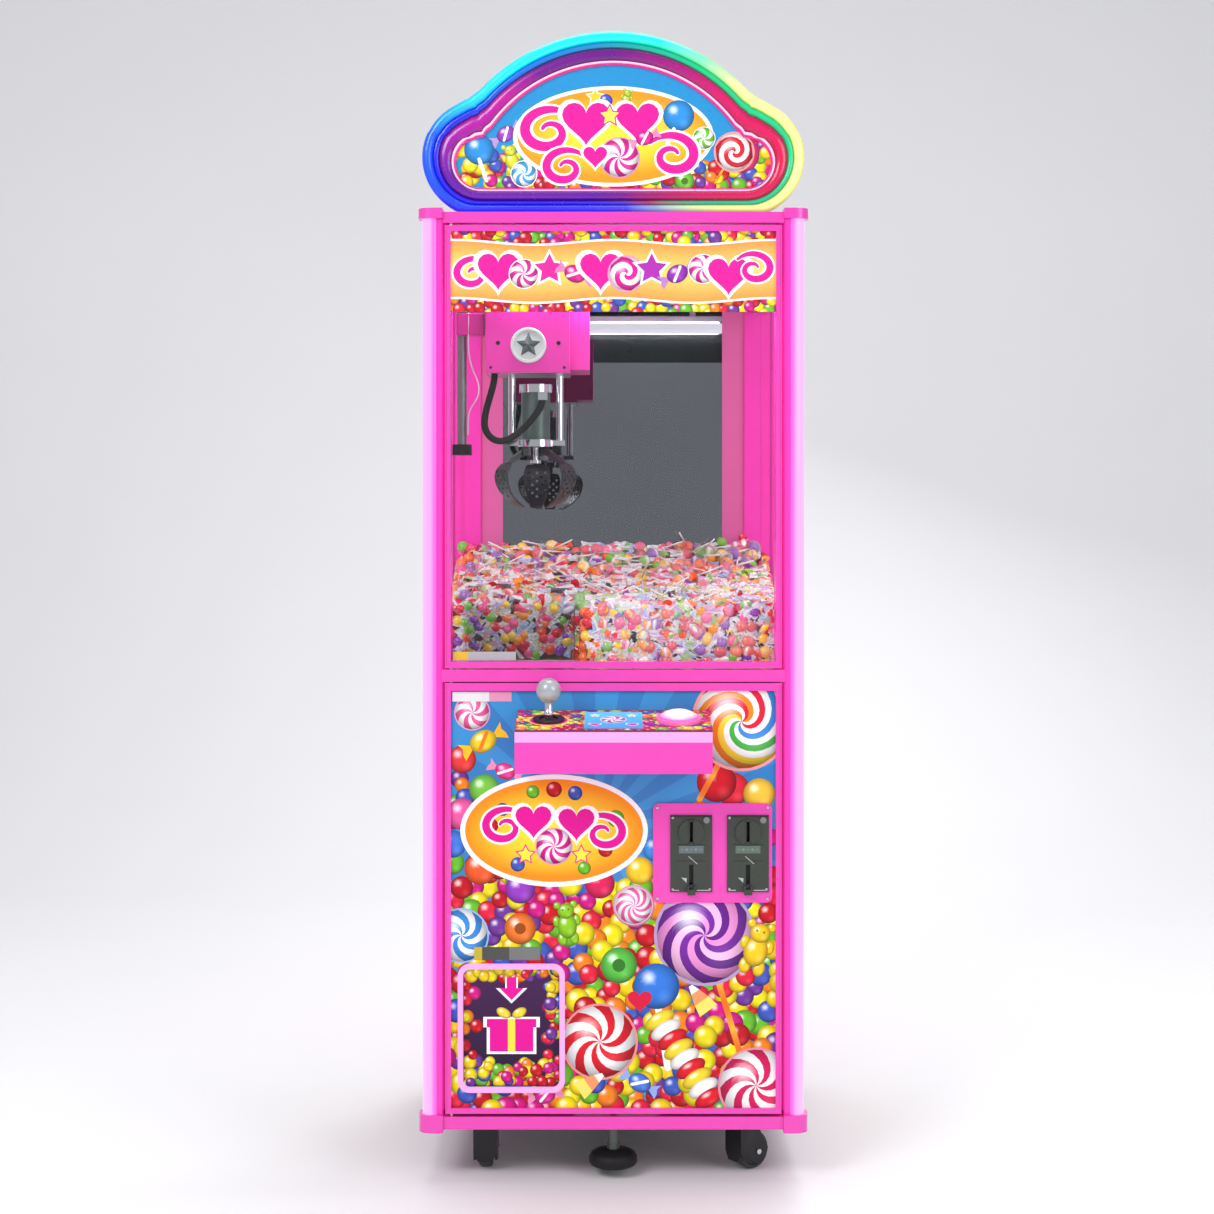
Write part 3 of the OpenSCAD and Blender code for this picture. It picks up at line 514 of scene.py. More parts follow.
    def bear(self, x, z, s, c, rot=0.0):
        f = ballcol(c)
        ca, sa = math.cos(rot), math.sin(rot)
        for dx, dz, a, b in ((-.34, .78, .15, .15), (.34, .78, .15, .15), (-.42, .12, .15, .24), (.42, .12, .15, .24), (-.24, -.62, .2, .28),
                             (.24, -.62, .2, .28), (0, -.1, .4, .52), (0, .52, .34, .32)):
            self.disc(x + s * (dx * ca - dz * sa), z + s * (dx * sa + dz * ca), s * a, f, rz=s * b, rot=rot, n=18)
        for dx in (-.12, .12):
            self.flat(x + s * (dx * ca - .58 * sa), z + s * (dx * sa + .58 * ca), s * .045, mixc(c, (0, 0, 0), 0.6), n=10)

    def lolly(self, x, z, r, stick, cols, twist=7.0, sectors=12, rim=(1, 1, 1)):
        """A flat spiral lollipop with its stick towards (dx, dz)."""
        if stick:
            self.stroke([(x, z), ((x + stick[0]) / 2, (z + stick[1]) / 2), stick], r * 0.12, lambda t: mixc(S(250, 180, 60), S(235, 110, 30), abs(math.sin(t * 9))))
        self.swirl(x, z, r, cols, twist, sectors, rings=16, rim=rim if rim != (1, 1, 1) else mixc(cols[0], (1, 1, 1), 0.3))

    def mint(self, x, z, r, c=None, n=14, twist=1.1, c2=None):
        c = c or S(225, 20, 40)
        self.swirl(x, z, r, [c, c2 or S(250, 248, 248)], twist, n, rings=7, rim=mixc(c, (1, 1, 1), 0.25) if r > 0.025 else S(250, 245, 248))

    def ringsweet(self, x, z, r, c):
        self.disc(x, z, r, ballcol(c), n=26)
        self.flat(x, z, r * 0.36, mixc(c, (0, 0, 0), 0.65), n=20)


SWEETS = [S(200, 12, 30), S(240, 222, 14), S(206, 14, 130), S(62, 88, 186), S(244, 206, 16), S(190, 14, 30), S(104, 186, 40), S(224, 30, 60), S(243, 130, 22), S(112, 52, 150), S(236, 214, 20)]
WHT = (0.95, 0.95, 0.95)
MAG = S(226, 10, 150)
RAINBOW = [S(240, 40, 60), S(250, 150, 30), S(250, 230, 40), S(90, 200, 70), S(40, 130, 230), S(150, 60, 200)]


def P(px, py):
    """A place on the front, from its distance right of the middle and above the floor in units of the front's own grid."""
    return ((px - 613.5) * 0.001647, 1.103 + (515 - py) * 0.001647)


def sea(art, x0, z0, x1, z1, r0, r1, step, rng, cols=SWEETS):
    pts = []
    z = z1
    row = 0
    while z > z0 - step:
        x = x0 - step / 2 + (row % 2) * step / 2
        while x < x1 + step:
            pts.append((x + rng.uniform(-.22, .22) * step, z + rng.uniform(-.22, .22) * step))
            x += step
        z -= step * 0.8
        row += 1
    rng.shuffle(pts)
    for x, z in pts:
        art.disc(x, z, rng.uniform(r0, r1), ballcol(rng.choice(cols)), n=18)


def ribbon_curl(art, x, z, s, flip, col, w, border=None):
    """An ornamental scroll."""
    pts = []
    for i in range(26):
        t = i / 25
        a = math.pi * (0.2 + 2.6 * t)
        k = s * (1.0 - 0.78 * t)
        pts.append((x + flip * k * math.cos(a), z + k * 0.8 * math.sin(a)))
    if border:
        art.stroke(pts, w * 1.55, border, taper=True)
    art.stroke(pts, w, col, taper=True)


PIN = [S(225, 30, 60), WHT, S(245, 130, 30), S(250, 215, 50), WHT, S(70, 180, 70), WHT, S(60, 140, 215), WHT, S(225, 30, 60), WHT, S(245, 140, 30)]

# ---------------------------------------------------------------- lower door print
rng = random.Random(11)
HX0, HX1, HZ0, HZ1 = -0.248, -0.089, 0.158, 0.353
door_rects = [(-0.268, 0.123, HX0, 0.813), (HX1, 0.123, 0.070, 0.813), (HX0, 0.123, HX1, HZ0), (HX0, HZ1, HX1, 0.813),
              (0.070, 0.123, 0.258, 0.467), (0.070, 0.623, 0.258, 0.813), (0.258, 0.123, 0.268, 0.813)]
A = Art(lambda x, z, d: (x, F + 0.0058 - d, z), door_rects)
A.rays(-0.03, 0.585, 0.60, 36, S(8, 118, 190), S(28, 138, 205))
sea(A, -0.268, 0.123, 0.268, 0.488, 0.0145, 0.0205, 0.0255, rng)
# taller drifts of sweets at both sides
for k in range(30):
    x = rng.choice([-1, 1]) * rng.uniform(0.16, 0.268)
    A.disc(x, rng.uniform(0.50, 0.53 + 0.05 * (x > 0)), rng.uniform(0.014, 0.02), ballcol(rng.choice(SWEETS)), n=18)
for k in range(10):
    A.disc(rng.uniform(-0.268, -0.245), rng.uniform(0.56, 0.74), rng.uniform(0.012, 0.018), ballcol(rng.choice(SWEETS)), n=18)
for px, py, r, c in ((472, 713, 18, S(250, 225, 235)), (462, 760, 14, S(235, 60, 60)), (484, 790, 15, S(120, 200, 70)), (462, 815, 16, S(240, 90, 160)),
                     (733, 790, 17, S(235, 40, 60)), (760, 795, 16, S(250, 200, 60)), (717, 783, 20, S(214, 20, 40)), (700, 815, 13, S(250, 140, 40)),
                     (656, 850, 13, S(60, 150, 230)), (640, 872, 14, S(250, 200, 40)), (480, 870, 16, S(240, 90, 40)), (520, 890, 15, S(150, 60, 190)),
                     (600, 885, 15, S(220, 30, 90)), (452, 845, 14, S(70, 120, 220))):
    x, z = P(px, py)
    A.disc(x, z, r * 0.001647, ballcol(c), n=26)
A.mint(*P(472, 713), 0.028, S(240, 90, 160), n=12)
A.lolly(*P(742, 722), 0.078, P(700, 800), PIN, twist=3.6, sectors=12)
A.wrapped(*P(483, 742), 0.020, 0.5, S(250, 215, 40), S(250, 130, 30))
A.wrapped(*P(505, 772), 0.015, -0.4, S(240, 60, 150))
# the oval sign, with a row of generic sweets in place of its lettering
OX, OZ = P(554, 831.5)
A.disc(OX, OZ, 0.155, (0.96, 0.96, 0.96), rz=0.093, n=64)
A.disc(OX, OZ, 0.147, lambda u, v: mixc(S(255, 236, 60), S(250, 140, 20), min(1, math.hypot(u, v * 1.1) ** 1.6)), rz=0.085, n=64)
for i, (dx, dz, r) in enumerate(((-0.105, 0.008, 0.013), (-0.085, 0.035, 0.011), (0.102, 0.02, 0.014), (0.085, -0.032, 0.012), (-0.06, -0.056, 0.012), (0.05, -0.062, 0.011), (0.0, 0.068, 0.013), (0.035, 0.062, 0.012), (-0.035, 0.064, 0.011))):
    A.disc(OX + dx, OZ + dz, r, ballcol(SWEETS[(i * 3) % 9]), n=20)
ribbon_curl(A, OX - 0.082, OZ + 0.006, 0.040, 1, MAG, 0.013, WHT)
ribbon_curl(A, OX + 0.082, OZ - 0.004, 0.040, -1, MAG, 0.013, WHT)
A.heart(OX - 0.034, OZ + 0.018, 0.030, MAG, WHT, 1.25)
A.heart(OX + 0.037, OZ + 0.014, 0.030, MAG, WHT, 1.25)
A.mint(OX, OZ - 0.026, 0.029, S(226, 10, 150), n=14)
A.star(OX + 0.045, OZ - 0.040, 0.014, S(255, 235, 60), MAG)
A.star(OX - 0.047, OZ - 0.040, 0.014, S(255, 235, 60), MAG)
# big sweets in the lower half
A.disc(*P(634, 907), 0.0345, ballcol(S(250, 205, 225)), n=28)
A.mint(*P(634, 907), 0.030, S(238, 100, 170), n=16, twist=1.6)
A.bear(*P(567, 925), 0.040, S(140, 200, 30), 0.1)
A.lolly(*P(705, 937), 0.079, P(745, 1070), [S(120, 40, 160), S(240, 150, 215), S(104, 30, 140), S(250, 190, 230)], twist=2.6, sectors=12)
A.bear(*P(757, 950), 0.050, S(245, 200, 30), -0.25)
A.mint(*P(461, 937), 0.043, S(60, 140, 220), n=12, twist=1.7)
A.ringsweet(*P(619, 967), 0.030, S(90, 190, 70))
A.stroke([P(657, 1000), P(668, 1070)], 0.011, S(245, 245, 245))
A.disc(*P(656.8, 988), 0.038, ballcol(S(50, 120, 215)), n=30)
A.mint(*P(599.6, 1043.8), 0.060, n=14, twist=1.3)
# twisted stripe sweet
for k in range(9):
    t = k / 8
    x, z = P(660 + 50 * t, 1022 + 78 * t)
    A.disc(x, z, 0.027, ballcol([S(250, 215, 50), S(252, 250, 245), S(222, 24, 40)][k % 3]), rz=0.013, rot=0.55, n=26)


def corn(art, x, z, s, rot):
    d, e = Vector((math.cos(rot), math.sin(rot))), Vector((-math.sin(rot), math.cos(rot)))
    cuts = [(0.0, 1.0, S(250, 220, 40)), (0.38, 0.78, S(250, 130, 20)), (0.74, 0.45, S(252, 250, 240)), (1.0, 0.18, None)]
    for (a, wa, c), (b, wb, _) in zip(cuts, cuts[1:]):
        p = [Vector((x, z)) + d * s * (a - 0.5) * 1.6 + e * s * 0.55 * wa, Vector((x, z)) + d * s * (a - 0.5) * 1.6 - e * s * 0.55 * wa,
             Vector((x, z)) + d * s * (b - 0.5) * 1.6 - e * s * 0.55 * wb, Vector((x, z)) + d * s * (b - 0.5) * 1.6 + e * s * 0.55 * wb]
        art.poly([tuple(q) for q in p], lambda px, pz: mixc(c, (1, 1, 1), 0.12))


corn(A, *P(700, 1000), 0.032, 2.2)
corn(A, *P(591, 1085), 0.030, 0.6)
A.mint(*P(757, 1088), 0.060, S(214, 20, 90), n=14, twist=1.4)
A.ringsweet(*P(520, 930), 0.026, S(240, 120, 40))
A.wrapped(*P(545, 1098), 0.015, 0.2, S(220, 40, 150))
A.wrapped(*P(640, 1085), 0.017, -0.5, S(70, 120, 220))
A.heart(*P(640, 1002), 0.020, S(214, 20, 60))
A.wrapped(*P(690, 880), 0.014, 0.8, S(235, 60, 60))
A.m.build("art_lower_door", PRINT, "lower_door", slot="art_print")

# ---------------------------------------------------------------- header print
H = Art(lambda x, z, d: (x, F + 0.0058 - d, z), [(-0.268, 1.438, 0.268, 1.5705)])
H.put([(-0.268, 1.438), (0.268, 1.438), (0.268, 1.5705), (-0.268, 1.5705)], [(0, 1, 2, 3)], [S(60, 20, 90)] * 4)
for z0, z1 in ((1.435, 1.456), (1.552, 1.574)):
    sea(H, -0.268, z0, 0.268, z1, 0.0085, 0.012, 0.0150, rng)
zc = 1.5045
top = [(x, zc + 0.046 + 0.004 * math.cos(x * 24)) for x in np.linspace(-0.268, 0.268, 41)]
bot = [(x, zc - 0.046 + 0.004 * math.cos(x * 24)) for x in np.linspace(-0.268, 0.268, 41)]
for off, c0, c1 in ((0.0035, WHT, WHT), (0.0, S(250, 214, 110), S(236, 150, 70))):
    v2 = [(x, z + off) for x, z in top] + [(x, (z + w[1]) / 2) for (x, z), w in zip(top, bot)] + [(x, z - off) for x, z in bot]
    n = 41
    fs = [(k * n + i, k * n + i + 1, (k + 1) * n + i + 1, (k + 1) * n + i) for k in range(2) for i in range(n - 1)]
    H.put(v2, fs, [c1] * n + [c0] * n + [c1] * n)
sh = [("curl", 1), ("heart", 0), ("mint", 0), ("star", 0), ("wrap", 0), ("heart", 1), ("lolly", 0), ("star", 1), ("wrap", 1), ("mint", 1), ("heart", 2), ("curl", -1)]
for i, (kind, v) in enumerate(sh):
    x = -0.232 + i * 0.464 / 11
    z = zc + (0.004 if i % 2 else -0.004)
    if kind == "curl":
        ribbon_curl(H, x, z, 0.034, v, MAG, 0.012, WHT)
    elif kind == "heart":
        H.heart(x, z, 0.034, MAG, WHT, 1.25)
    elif kind == "mint":
        H.mint(x, z, 0.0235, S(226, 10, 150), n=12)
    elif kind == "star":
        H.star(x, z, 0.026, [S(240, 30, 150), S(170, 40, 170)][v], WHT)
    elif kind == "wrap":
        H.wrapped(x, z, 0.0160, 0.5 if v else -0.4, [S(214, 20, 140), S(150, 40, 180)][v], S(255, 230, 245))
    else:
        H.lolly(x, z, 0.029, None, [MAG, WHT], twist=5, sectors=4)
H.m.build("art_header", PRINT_LIT, "upper_door", slot="lit_art")


# ---------------------------------------------------------------- cloud sign
def cloud_r(phi, d):
    """Distance from the sign's middle to the outline d inside its edge, in direction phi."""
    cx, cz = 0.0, 1.690
    ux, uz = math.cos(phi), math.sin(phi)
    zb = 1.6035 + 0.72 * d
    best = 0.0
    lz = 1.6945 - 0.28 * max(0.0, d - 0.0214)
    for ox, oz, r in ((0, 1.601, 0.301 - d), (0.219, lz, 0.097 - d), (-0.219, lz, 0.097 - d)):
        dx, dz = ox - cx, oz - cz
        b = dx * ux + dz * uz
        q = b * b - (dx * dx + dz * dz - r * r)
        if q > 0:
            t = b + math.sqrt(q)
            if ox == 0 and cz + t * uz < 1.6945 and abs(t * ux) > 0.219:
                t = 0.219 / abs(ux)
            best = max(best, t)
    if uz < 0:
        best = min(best, (cz - zb) / -uz)
    return best


NS = 360


def outline(d, soft=5):
    R = np.array([cloud_r(2 * math.pi * i / NS, d) for i in range(NS)])
    phis = 2 * np.pi * np.arange(NS) / NS
    up = np.sin(phis) > 0.15
    k = np.ones(2 * soft + 1) / (2 * soft + 1)
    Rs = np.convolve(np.concatenate([R[-soft:], R, R[:soft]]), k, "valid")
    R = np.where(up, np.minimum(Rs, R + 0.004), R)
    return [(R[i] * math.cos(phis[i]), 1.690 + R[i] * math.sin(phis[i])) for i in range(NS)]


def wheel_col(stops, phi):
    a = math.degrees(phi) % 360
    for (a0, c0), (a1, c1) in zip(stops, stops[1:]):
        if a0 <= a <= a1:
            return mixc(c0, c1, (a - a0) / (a1 - a0))
    return stops[-1][1]


OUT = [(0, S(245, 240, 138)), (28, S(225, 245, 140)), (48, S(120, 245, 170)), (68, S(20, 245, 200)), (95, S(0, 238, 240)), (140, S(0, 232, 255)),
       (158, S(0, 190, 255)), (172, S(14, 90, 255)), (205, S(30, 40, 255)), (240, S(40, 50, 250)), (285, S(60, 60, 215)), (312, S(120, 150, 190)), (335, S(200, 225, 130)), (360, S(245, 240, 138))]
MID = [(0, S(30, 225, 150)), (40, S(0, 226, 140)), (75, S(10, 190, 170)), (100, S(24, 150, 215)), (140, S(0, 120, 250)), (165, S(30, 40, 250)), (200, S(40, 20, 245)),
       (240, S(60, 30, 240)), (285, S(90, 60, 215)), (310, S(190, 60, 110)), (335, S(60, 190, 150)), (360, S(30, 225, 150))]
INN = [(0, S(232, 8, 84)), (30, S(226, 0, 110)), (55, S(176, 0, 130)), (90, S(112, 0, 140)), (130, S(120, 0, 150)), (150, S(205, 0, 165)), (166, S(190, 0, 170)),
       (185, S(112, 10, 175)), (240, S(100, 0, 170)), (285, S(124, 0, 150)), (320, S(170, 0, 110)), (345, S(225, 0, 90)), (360, S(232, 8, 84))]


def band(M, d0, d1, y, h, stops, steps=8, base=F + 0.026, dark=0.35):
    """One rounded band of the sign's rim between d0 and d1 inside its edge. Its colour is darkened towards both sides
    of the band (by up to dark, and to 0.6 at its foot) as painted shade on the rounded tube.
    """
    rows = []
    for k in range(steps + 1):
        s = k / steps
        # rows nearer the band's sides and its foot get a darker colour factor: painted shade on the rounded sides
        rows.append((outline(d0 + (d1 - d0) * s), y - h * math.sin(math.pi * s) ** 0.7, 1.0 - dark * (1 - math.sin(math.pi * s))))
    rows = [(rows[0][0], base, 0.6)] + rows + [(rows[-1][0], base, 0.6)]
    vs, cs, fs = [], [], []
    for pts, yy, side_shade_k in rows:
        for i, (x, z) in enumerate(pts):
            vs.append((x, yy, z))
            c = wheel_col(stops, 2 * math.pi * i / NS)
            cs.append(tuple(v * side_shade_k for v in c))
    for k in range(len(rows) - 1):
        for i in range(NS):
            j = (i + 1) % NS
            fs.append((k * NS + i, k * NS + j, (k + 1) * NS + j, (k + 1) * NS + i))
    M.add(vs, fs, cs)


M = Mesh()
band(M, 0.0, 0.017, F + 0.018, 0.006, OUT)
band(M, 0.017, 0.0275, F + 0.020, 0.003, [(a, mixc(c, (0, 0, 0), 0.35)) for a, c in MID], dark=0.5)
band(M, 0.0275, 0.0485, F + 0.019, 0.005, [(a, mixc(c, (0, 0, 0), 0.30)) for a, c in INN], dark=0.6)
band(M, 0.0485, 0.0520, F + 0.0175, 0.002, [(0, S(255, 190, 220)), (360, S(255, 190, 220))], steps=4, dark=0.1)
band(M, 0.0520, 0.0555, F + 0.019, 0.0012, [(0, S(214, 20, 120)), (360, S(214, 20, 120))], steps=4, dark=0.1)
o = M.build("sign_neon_bands", NEON, "cabinet", smooth=True, replaces="topper_neon_ring", slot="neon")

zlo, zhi = 1.650, 1.862
inner = outline(0.051)


def in_cloud(x, z, d=0.050):
    phi = math.atan2(z - 1.690, x)
    return math.hypot(x, z - 1.690) <= cloud_r(phi, d) + 0.0005


DZ = 0.0085
T = Art(lambda x, z, d: (x, F + 0.0225 - d, z - DZ), [(-0.27, 1.638, 0.27, 1.87)], keep=lambda x, z: in_cloud(x, z - DZ))
n = NS
base = [(0, F + 0.0226, 1.69)] + [(x, F + 0.0226, z) for x, z in outline(0.0505)]
T.m.add(base, [(0, 1 + i, 1 + (i + 1) % n) for i in range(n)], [S(30, 140, 200)] * (n + 1))
for i in range(30):
    a = math.pi * (i + 0.5) / 30
    if i % 2:
        T.put([(0, 1.66), (0.32 * math.cos(a - 0.052), 1.66 + 0.32 * math.sin(a - 0.052)), (0.32 * math.cos(a + 0.052), 1.66 + 0.32 * math.sin(a + 0.052))],
              [(0, 1, 2)], [S(70, 165, 215)] * 3, level=1)
tr = random.Random(5)
for k in range(210):
    x = tr.uniform(-0.27, 0.27)
    T.disc(x, 1.652 + tr.uniform(0, 0.022 + 0.075 * (abs(x) / 0.27) ** 2), tr.uniform(0.0095, 0.014), ballcol(tr.choice(SWEETS)), n=18)
T.disc(-0.222, 1.716, 0.025, ballcol(S(40, 140, 215)), n=26)
T.stroke([(-0.222, 1.70), (-0.21, 1.665)], 0.006, WHT)
T.bear(-0.168, 1.700, 0.028, S(215, 215, 40), 0.2)
T.mint(-0.148, 1.676, 0.021, S(60, 160, 220), n=10, twist=1.6)
T.wrapped(-0.178, 1.742, 0.014, 0.6, S(150, 60, 190), WHT)
T.wrapped(-0.13, 1.768, 0.012, 0.9, S(240, 90, 170), WHT)
T.disc(0, 1.738, 0.166, WHT, rz=0.083, n=64)
T.disc(0, 1.738, 0.159, lambda u, v: mixc(S(255, 236, 60), S(250, 150, 20), min(1, math.hypot(u, v * 1.2) ** 1.5)), rz=0.077, n=64)
T.disc(0.212, 1.708, 0.030, ballcol(S(235, 40, 120)), n=28)
T.lolly(0.200, 1.712, 0.032, (0.17, 1.665), [S(214, 20, 50), S(252, 250, 248)], twist=6, sectors=4)
T.disc(0.108, 1.772, 0.026, ballcol(S(40, 140, 215)), n=28)
T.stroke([(0.100, 1.750), (0.084, 1.712)], 0.006, WHT)
T.mint(0.150, 1.735, 0.018, S(110, 190, 50), n=10)
T.ringsweet(0.118, 1.664, 0.016, S(110, 190, 50))
T.star(-0.03, 1.803, 0.013, S(250, 200, 40), WHT)
T.disc(-0.012, 1.797, 0.011, ballcol(S(70, 80, 200)), n=18)
T.bear(0.022, 1.800, 0.018, S(180, 200, 40), -0.2)
ribbon_curl(T, -0.108, 1.746, 0.050, 1, MAG, 0.017, WHT)
ribbon_curl(T, 0.098, 1.706, 0.046, -1, MAG, 0.016, WHT)
ribbon_curl(T, -0.080, 1.686, 0.040, 1, MAG, 0.014, WHT)
T.heart(-0.045, 1.764, 0.040, MAG, WHT, 1.2)
T.heart(0.040, 1.766, 0.036, MAG, WHT, 1.2)
T.star(-0.006, 1.772, 0.016, S(255, 240, 90), MAG)
T.mint(0.010, 1.703, 0.032, S(226, 10, 150), n=14)
T.heart(-0.030, 1.706, 0.020, MAG, WHT, 1.25)
T.wrapped(0.052, 1.735, 0.013, 0.4, MAG, WHT)
T.m.build("art_sign", PRINT_LIT, "cabinet", replaces="topper_face", slot="lit_art")


# ---------------------------------------------------------------- control shelf print, on the slope
TH = math.atan(20 / 120)
SY, SZ = F - 0.060, 0.770


def slope_pt(x, v, h):
    return (x, SY + v * math.cos(TH) - h * math.sin(TH), SZ + v * math.sin(TH) + h * math.cos(TH))


C = Art(lambda x, v, d: slope_pt(x, v, 0.00015 + d), [(-0.1575, -0.0605, 0.1575, 0.0635)], dy=2e-5)
C.put([(-0.1575, -0.0605), (0.1575, -0.0605), (0.1575, 0.0635), (-0.1575, 0.0635)], [(0, 1, 2, 3)], [S(90, 20, 60)] * 4)
sea(C, -0.1575, -0.0605, 0.1575, 0.0635, 0.008, 0.012, 0.0142, random.Random(3))
C.put([(-0.047, -0.052), (0.047, -0.052), (0.047, 0.052), (-0.047, 0.052)], [(0, 1, 2, 3)], [S(50, 160, 225), S(50, 160, 225), S(110, 205, 245), S(110, 205, 245)])
C.mint(0.0, 0.004, 0.020, S(226, 10, 150), n=12)
C.star(-0.030, 0.030, 0.008, S(255, 235, 60), WHT)
C.star(0.030, 0.030, 0.008, S(255, 235, 60), WHT)
C.heart(-0.030, -0.026, 0.009, MAG, WHT)
C.heart(0.030, -0.026, 0.009, MAG, WHT)
C.flat(-0.105, 0.0, 0.034, S(250, 225, 60), n=40)
C.flat(-0.105, 0.0, 0.031, S(226, 30, 150), n=40)
# four arrow heads round the joystick
for a in range(4):
    t = a * math.pi / 2
    ux, uz = math.cos(t), math.sin(t)
    C.poly([(-0.105 + ux * 0.0345 + uz * 0.006, uz * 0.0345 - ux * 0.006), (-0.105 + ux * 0.0425, uz * 0.0425), (-0.105 + ux * 0.0345 - uz * 0.006, uz * 0.0345 + ux * 0.006)], S(255, 240, 80))
C.m.build("art_shelf_top", PRINT, "lower_door", slot="lit_art")

# ---------------------------------------------------------------- prize flap print

E = Art(lambda x, z, d: (x, F + 0.00985 - d, z), [(-0.2475, 0.1585, -0.0895, 0.3525)], dy=2e-5)
E.put([(-0.2475, 0.1585), (-0.0895, 0.1585), (-0.0895, 0.3525), (-0.2475, 0.3525)], [(0, 1, 2, 3)], [S(30, 18, 44), S(30, 18, 44), S(70, 30, 80), S(70, 30, 80)])
er = random.Random(9)
for k in range(150):
    side = er.random()
    if side < 0.42:
        x, z = er.uniform(-0.2475, -0.0895), 0.160 + er.random() ** 1.5 * 0.040
    elif side < 0.62:
        x, z = er.uniform(-0.2475, -0.0895), 0.3525 - er.random() ** 1.5 * 0.018
    else:
        s = er.choice([0, 1])
        x, z = (-0.2475 + er.random() ** 1.5 * 0.022) if s else (-0.0895 - er.random() ** 1.5 * 0.022), er.uniform(0.16, 0.352)
    E.disc(x, z, er.uniform(0.008, 0.012), ballcol(er.choice(SWEETS)), n=16)
# a present with an arrow down to it
gx, gz = -0.1685, 0.245
for k, c in ((1.14, WHT), (1.0, MAG)):
    E.poly([(gx - 0.036 * k, gz - 0.030 * k), (gx + 0.036 * k, gz - 0.030 * k), (gx + 0.036 * k, gz + 0.016 * k), (gx - 0.036 * k, gz + 0.016 * k)], c)
    E.poly([(gx - 0.041 * k, gz + 0.010), (gx + 0.041 * k, gz + 0.010), (gx + 0.041 * k, gz + 0.024 * k), (gx - 0.041 * k, gz + 0.024 * k)], c)
E.poly([(gx - 0.006, gz - 0.030), (gx + 0.006, gz - 0.030), (gx + 0.006, gz + 0.024), (gx - 0.006, gz + 0.024)], S(255, 225, 70))
for s in (-1, 1):
    E.disc(gx + s * 0.013, gz + 0.034, 0.013, ballcol(S(255, 215, 60)), rz=0.008, rot=s * 0.5, n=18)
for k, c in ((1.3, WHT), (1.0, MAG)):
    E.poly([(gx - 0.020 * k, 0.318 + 0.002), (gx + 0.020 * k, 0.318 + 0.002), (gx, 0.318 - 0.018 * k)], c)
    E.poly([(gx - 0.008 * k, 0.318), (gx + 0.008 * k, 0.318), (gx + 0.008 * k, 0.338), (gx - 0.008 * k, 0.338)], c)
E.m.build("art_prize_flap", PRINT, "prize_flap", slot="black_plastic")

# ---------------------------------------------------------------- side prints (same style as the door; the sides are out of the photograph's view)
for sgn, nm in ((-1, "left"), (1, "right")):
    sr = random.Random(21 + sgn)
    D = Art(lambda x, z, d, s=sgn: (s * (0.3082 + d), 0.0565 + s * x, z), [(-0.285, 0.115, 0.285, 0.822)])
    D.rays(0.02, 0.5, 0.66, 36, S(8, 118, 190), S(28, 138, 205))
    sea(D, -0.285, 0.115, 0.285, 0.36, 0.0155, 0.0215, 0.0275, sr)
    for k in range(26):
        x = sr.choice([-1, 1]) * sr.uniform(0.14, 0.285)
        D.disc(x, sr.uniform(0.36, 0.45), sr.uniform(0.014, 0.02), ballcol(sr.choice(SWEETS)), n=18)
    D.lolly(0.17, 0.66, 0.085, (0.10, 0.42), PIN, twist=3.6, sectors=12)
    D.mint(-0.17, 0.62, 0.055, n=14, twist=1.4)
    D.lolly(-0.03, 0.50, 0.062, (-0.07, 0.34), [S(120, 40, 160), S(250, 160, 215), S(200, 30, 140), S(255, 225, 240)], twist=8, sectors=8)
    D.heart(0.02, 0.70, 0.045, MAG, WHT, 1.2)
    D.star(-0.09, 0.745, 0.026, S(255, 235, 60), WHT)
    D.wrapped(-0.20, 0.49, 0.024, 0.6, S(250, 215, 40), S(250, 130, 30))
    D.bear(0.21, 0.43, 0.050, S(140, 200, 30), 0.1)
    D.mint(0.06, 0.29, 0.052, S(214, 20, 90), n=14, twist=1.4)
    D.bear(-0.15, 0.27, 0.052, S(245, 200, 30), -0.2)
    D.ringsweet(-0.05, 0.20, 0.034, S(90, 190, 70))
    D.m.build("art_side_" + nm, PRINT, "cabinet", slot="art_print")


# ---------------------------------------------------------------- the heap of wrapped sweets
def heap_z(x, y):
    prof = [(-0.2205, 0.945), (-0.06, 0.956), (0.12, 0.972), (0.24, 0.992), (0.3345, 1.044)]
    z = prof[-1][1]
    for (y0, z0), (y1, z1) in zip(prof, prof[1:]):
        if y <= y1:
            z = z0 + (z1 - z0) * max(0, (y - y0) / (y1 - y0))
            break
    return z


COLS = [S(240, 80, 30), S(250, 150, 40), S(225, 30, 60), S(240, 90, 150), S(120, 190, 60), S(140, 60, 180), S(250, 205, 60), S(235, 60, 110), S(250, 120, 60), S(215, 20, 30)]


def sph(r, n=10, m=7, sq=1.0):
    vs = [(0, 0, r * sq)]
    for j in range(1, m):
        t = math.pi * j / m
        for i in range(n):
            a = 2 * math.pi * i / n
            vs.append((r * math.sin(t) * math.cos(a), r * math.sin(t) * math.sin(a), r * sq * math.cos(t)))
    vs.append((0, 0, -r * sq))
    fs = [(0, 1 + i, 1 + (i + 1) % n) for i in range(n)]
    for j in range(m - 2):
        for i in range(n):
            a, b = 1 + j * n + i, 1 + j * n + (i + 1) % n
            fs.append((a, a + n, b + n, b))
    e = len(vs) - 1
    fs += [(e, 1 + (m - 2) * n + (i + 1) % n, 1 + (m - 2) * n + i) for i in range(n)]
    return vs, fs


# the wrapper film is given a slight glow (emit 0.06): painted light, the film is no lamp
FILMM = attr_mat("wrapper_film_painted_glow", rough=0.2, coat=0.5, emit=0.06, alpha=0.80)
SW, WR, ST = Mesh(), Mesh(), Mesh()
hr = random.Random(4)


